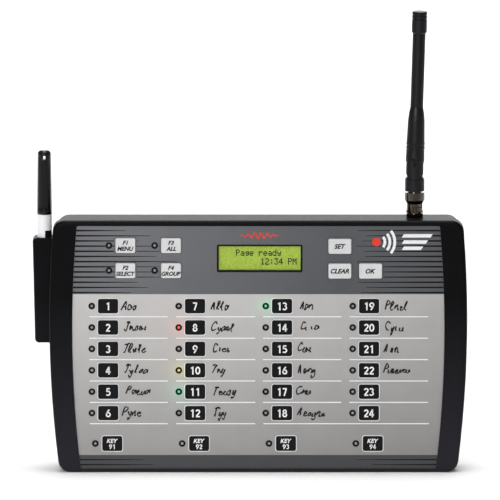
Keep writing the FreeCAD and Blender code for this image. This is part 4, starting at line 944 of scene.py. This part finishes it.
def make_marker_cap():
    """The marker's cap: tapered, with shallow flutes, a domed end and a slot through it."""
    low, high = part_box("marker_cap")
    middle = (low + high) / 2
    bm = cad_copy("marker_cap")
    dome, end_radius, wall_radius = 2.8 * MM, 4.85 * MM, 4.7 * MM
    flutes, flute_depth, flute_end, run_out = 12, 0.30 * MM, 0.97, 0.06
    heights = [low.z + (high.z - low.z) * step / 24 for step in range(1, 24)]
    heights += [high.z - dome * step / 7 for step in range(1, 7)]
    for height in heights:
        cut_level(bm, height)
    for vertex in bm.verts:
        out = Vector((vertex.co.x - middle.x, vertex.co.y - middle.y, 0))
        part = min(1.0, max(0.0, (vertex.co.z - high.z + dome) / dome))
        limit = end_radius * (0.45 + 0.55 * math.sqrt(1 - part ** 2))
        if part and out.length > limit:
            vertex.co -= out * (1 - limit / out.length)
            continue
        if out.length < wall_radius:
            continue
        turn = math.atan2(out.y, out.x)
        rise = (vertex.co.z - low.z) / (high.z - low.z)
        ramp = min(1.0, max(0.0, (rise - run_out) / run_out),
                   max(0.0, (flute_end - rise) / run_out))
        dip = flute_depth * ramp * abs(math.sin(flutes * turn / 2))
        vertex.co -= out.normalized() * dip
    piece = add_piece("fluted_cap", finish_mesh("fluted_cap", bm), [GLOSS_BLACK], "marker_cap",
                      angle=50)
    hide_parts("marker_cap")


def make_marker_print():
    """A black block of print round part of the barrel."""
    low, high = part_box("marker_barrel")
    middle = (low + high) / 2
    radius = (high.x - low.x) / 2
    top, bottom, thin, thick = 176.6 * MM, 120 * MM, 0.02 * MM, 0.05 * MM
    bm = bmesh.new()
    sides = 20
    start, end = math.radians(-85), math.radians(60)
    columns = []
    for side in range(sides + 1):
        turn = start + (end - start) * side / sides
        columns.append([
            bm.verts.new((middle.x + math.cos(turn) * (radius + reach),
                          middle.y + math.sin(turn) * (radius + reach), height))
            for reach, height in ((thin, bottom), (thick, bottom), (thick, top), (thin, top))])
    close_tube(bm, columns)
    add_piece("marker_print", finish_mesh("marker_print", bm), [GLOSS_BLACK], "marker")


# --- back ----------------------------------------------------------------------------------------

def make_rating_plate():
    """A blank foil plate with ruled lines in the middle of the back."""
    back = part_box("rear_shell")[1].y
    x, z, width, tall, corner = 0.0, 76 * MM, 78 * MM, 44 * MM, 2.5 * MM
    path = box_path(x, z, width, tall, corner)
    bm = bmesh.new()
    add_prism(bm, [point for point, _ in path], back - 0.02 * MM, back + 0.12 * MM)
    add_print("rating_plate", bm, PLATE_FOIL)
    line_low, line_high = 0.10, 0.16
    bm = bmesh.new()
    section = [(offset * MM, back + depth * MM)
               for offset, depth in ((-1.9, line_low), (-1.9, line_high), (-1.5, line_high),
                                     (-1.5, line_low))]
    add_loop(bm, path, section)
    half_length, thickness, pitch = 33 * MM, 0.3 * MM, 9
    for line in range(3):
        height = z + (pitch - line * pitch) * MM
        outline = box_outline(x - half_length, height, x + half_length, height + thickness)
        add_prism(bm, outline, back + line_low * MM, back + line_high * MM)
    add_print("rating_lines", bm, BLACK_INK)


# --- stage ---------------------------------------------------------------------------------------

def make_floor():
    """The wide pale floor."""
    made = Nodes("floor_pale")
    cloud = made.noise(3.0, 3.0)
    base = made.mix(cloud, (0.86, 0.86, 0.86, 1.0), (0.90, 0.90, 0.90, 1.0))
    made.link(base, made.shader.inputs["Base Color"])
    made.shader.inputs["Roughness"].default_value = 0.9
    made.shader.inputs["Specular IOR Level"].default_value = 0.1
    reach = 9.0
    bm = bmesh.new()
    for x, y in ((-reach, -reach), (reach, -reach), (reach, reach), (-reach, reach)):
        bm.verts.new((x, y, CAD_BOX[0][2]))
    bm.faces.new(bm.verts)
    mesh = finish_mesh("floor", bm)
    mesh.materials.append(made.material)
    floor = bpy.data.objects.new("floor", mesh)
    show(floor)


def aim(item, target):
    """Turn a light or camera toward a point."""
    direction = Vector(target) - item.location
    item.rotation_euler = direction.to_track_quat("-Z", "Y").to_euler()


def add_softbox(name, location, size, energy, target=(0, 0, 0.1), spread=180):
    """A rectangular light of a given width, height and power in watts."""
    light = bpy.data.lights.new(name, "AREA")
    light.shape = "RECTANGLE"
    light.spread = math.radians(spread)
    light.size, light.size_y = size
    light.energy = energy
    box = bpy.data.objects.new(name, light)
    box.location = location
    show(box)
    aim(box, target)


def make_softboxes():
    """Three soft lights: over the floor, behind the console and in front of it."""
    add_softbox("table_box", (0.0, 1.35, 2.4), (3.4, 3.6), 39, target=(0, 1.35, 0), spread=40)
    add_softbox("backdrop_box", (0.0, 3.4, 0.95), (4.0, 1.5), 38, target=(0, 0, 0.19))
    add_softbox("front_box", (-0.9, -3.2, 1.15), (1.5, 1.0), 58)


def make_world():
    """Dim even light from all round."""
    world = bpy.data.worlds.new("studio")
    bpy.context.scene.world = world
    world.use_nodes = True
    background = world.node_tree.nodes["Background"]
    background.inputs["Color"].default_value = (1.0, 1.0, 1.0, 1.0)
    background.inputs["Strength"].default_value = 0.20


def make_camera():
    """A long lens from far away, nearly ten degrees above level."""
    elevation, distance, width_in_view = math.radians(9.6), 8.0, 0.3645
    case_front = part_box("front_shell")[0].y
    aim_at = Vector((-5.15 * MM + ART_X, case_front, 165.1 * MM))
    camera_data = bpy.data.cameras.new("camera")
    camera = bpy.data.objects.new("camera", camera_data)
    camera.location = aim_at + distance * Vector((0, -math.cos(elevation), math.sin(elevation)))
    camera_data.sensor_width = 36
    camera_data.lens = distance * camera_data.sensor_width / width_in_view
    camera_data.clip_end = 50
    aim(camera, aim_at)
    show(camera)
    bpy.context.scene.camera = camera


make_face_sheet()
make_speed_stripes()
make_separators()
make_key_rims()
make_lights()
make_legends()
make_handwriting()
make_display()
make_marks()
make_marker_cap()
make_marker_print()
make_rating_plate()
make_floor()
make_world()
make_softboxes()
make_camera()
bpy.context.scene.view_settings.view_transform = "Standard"
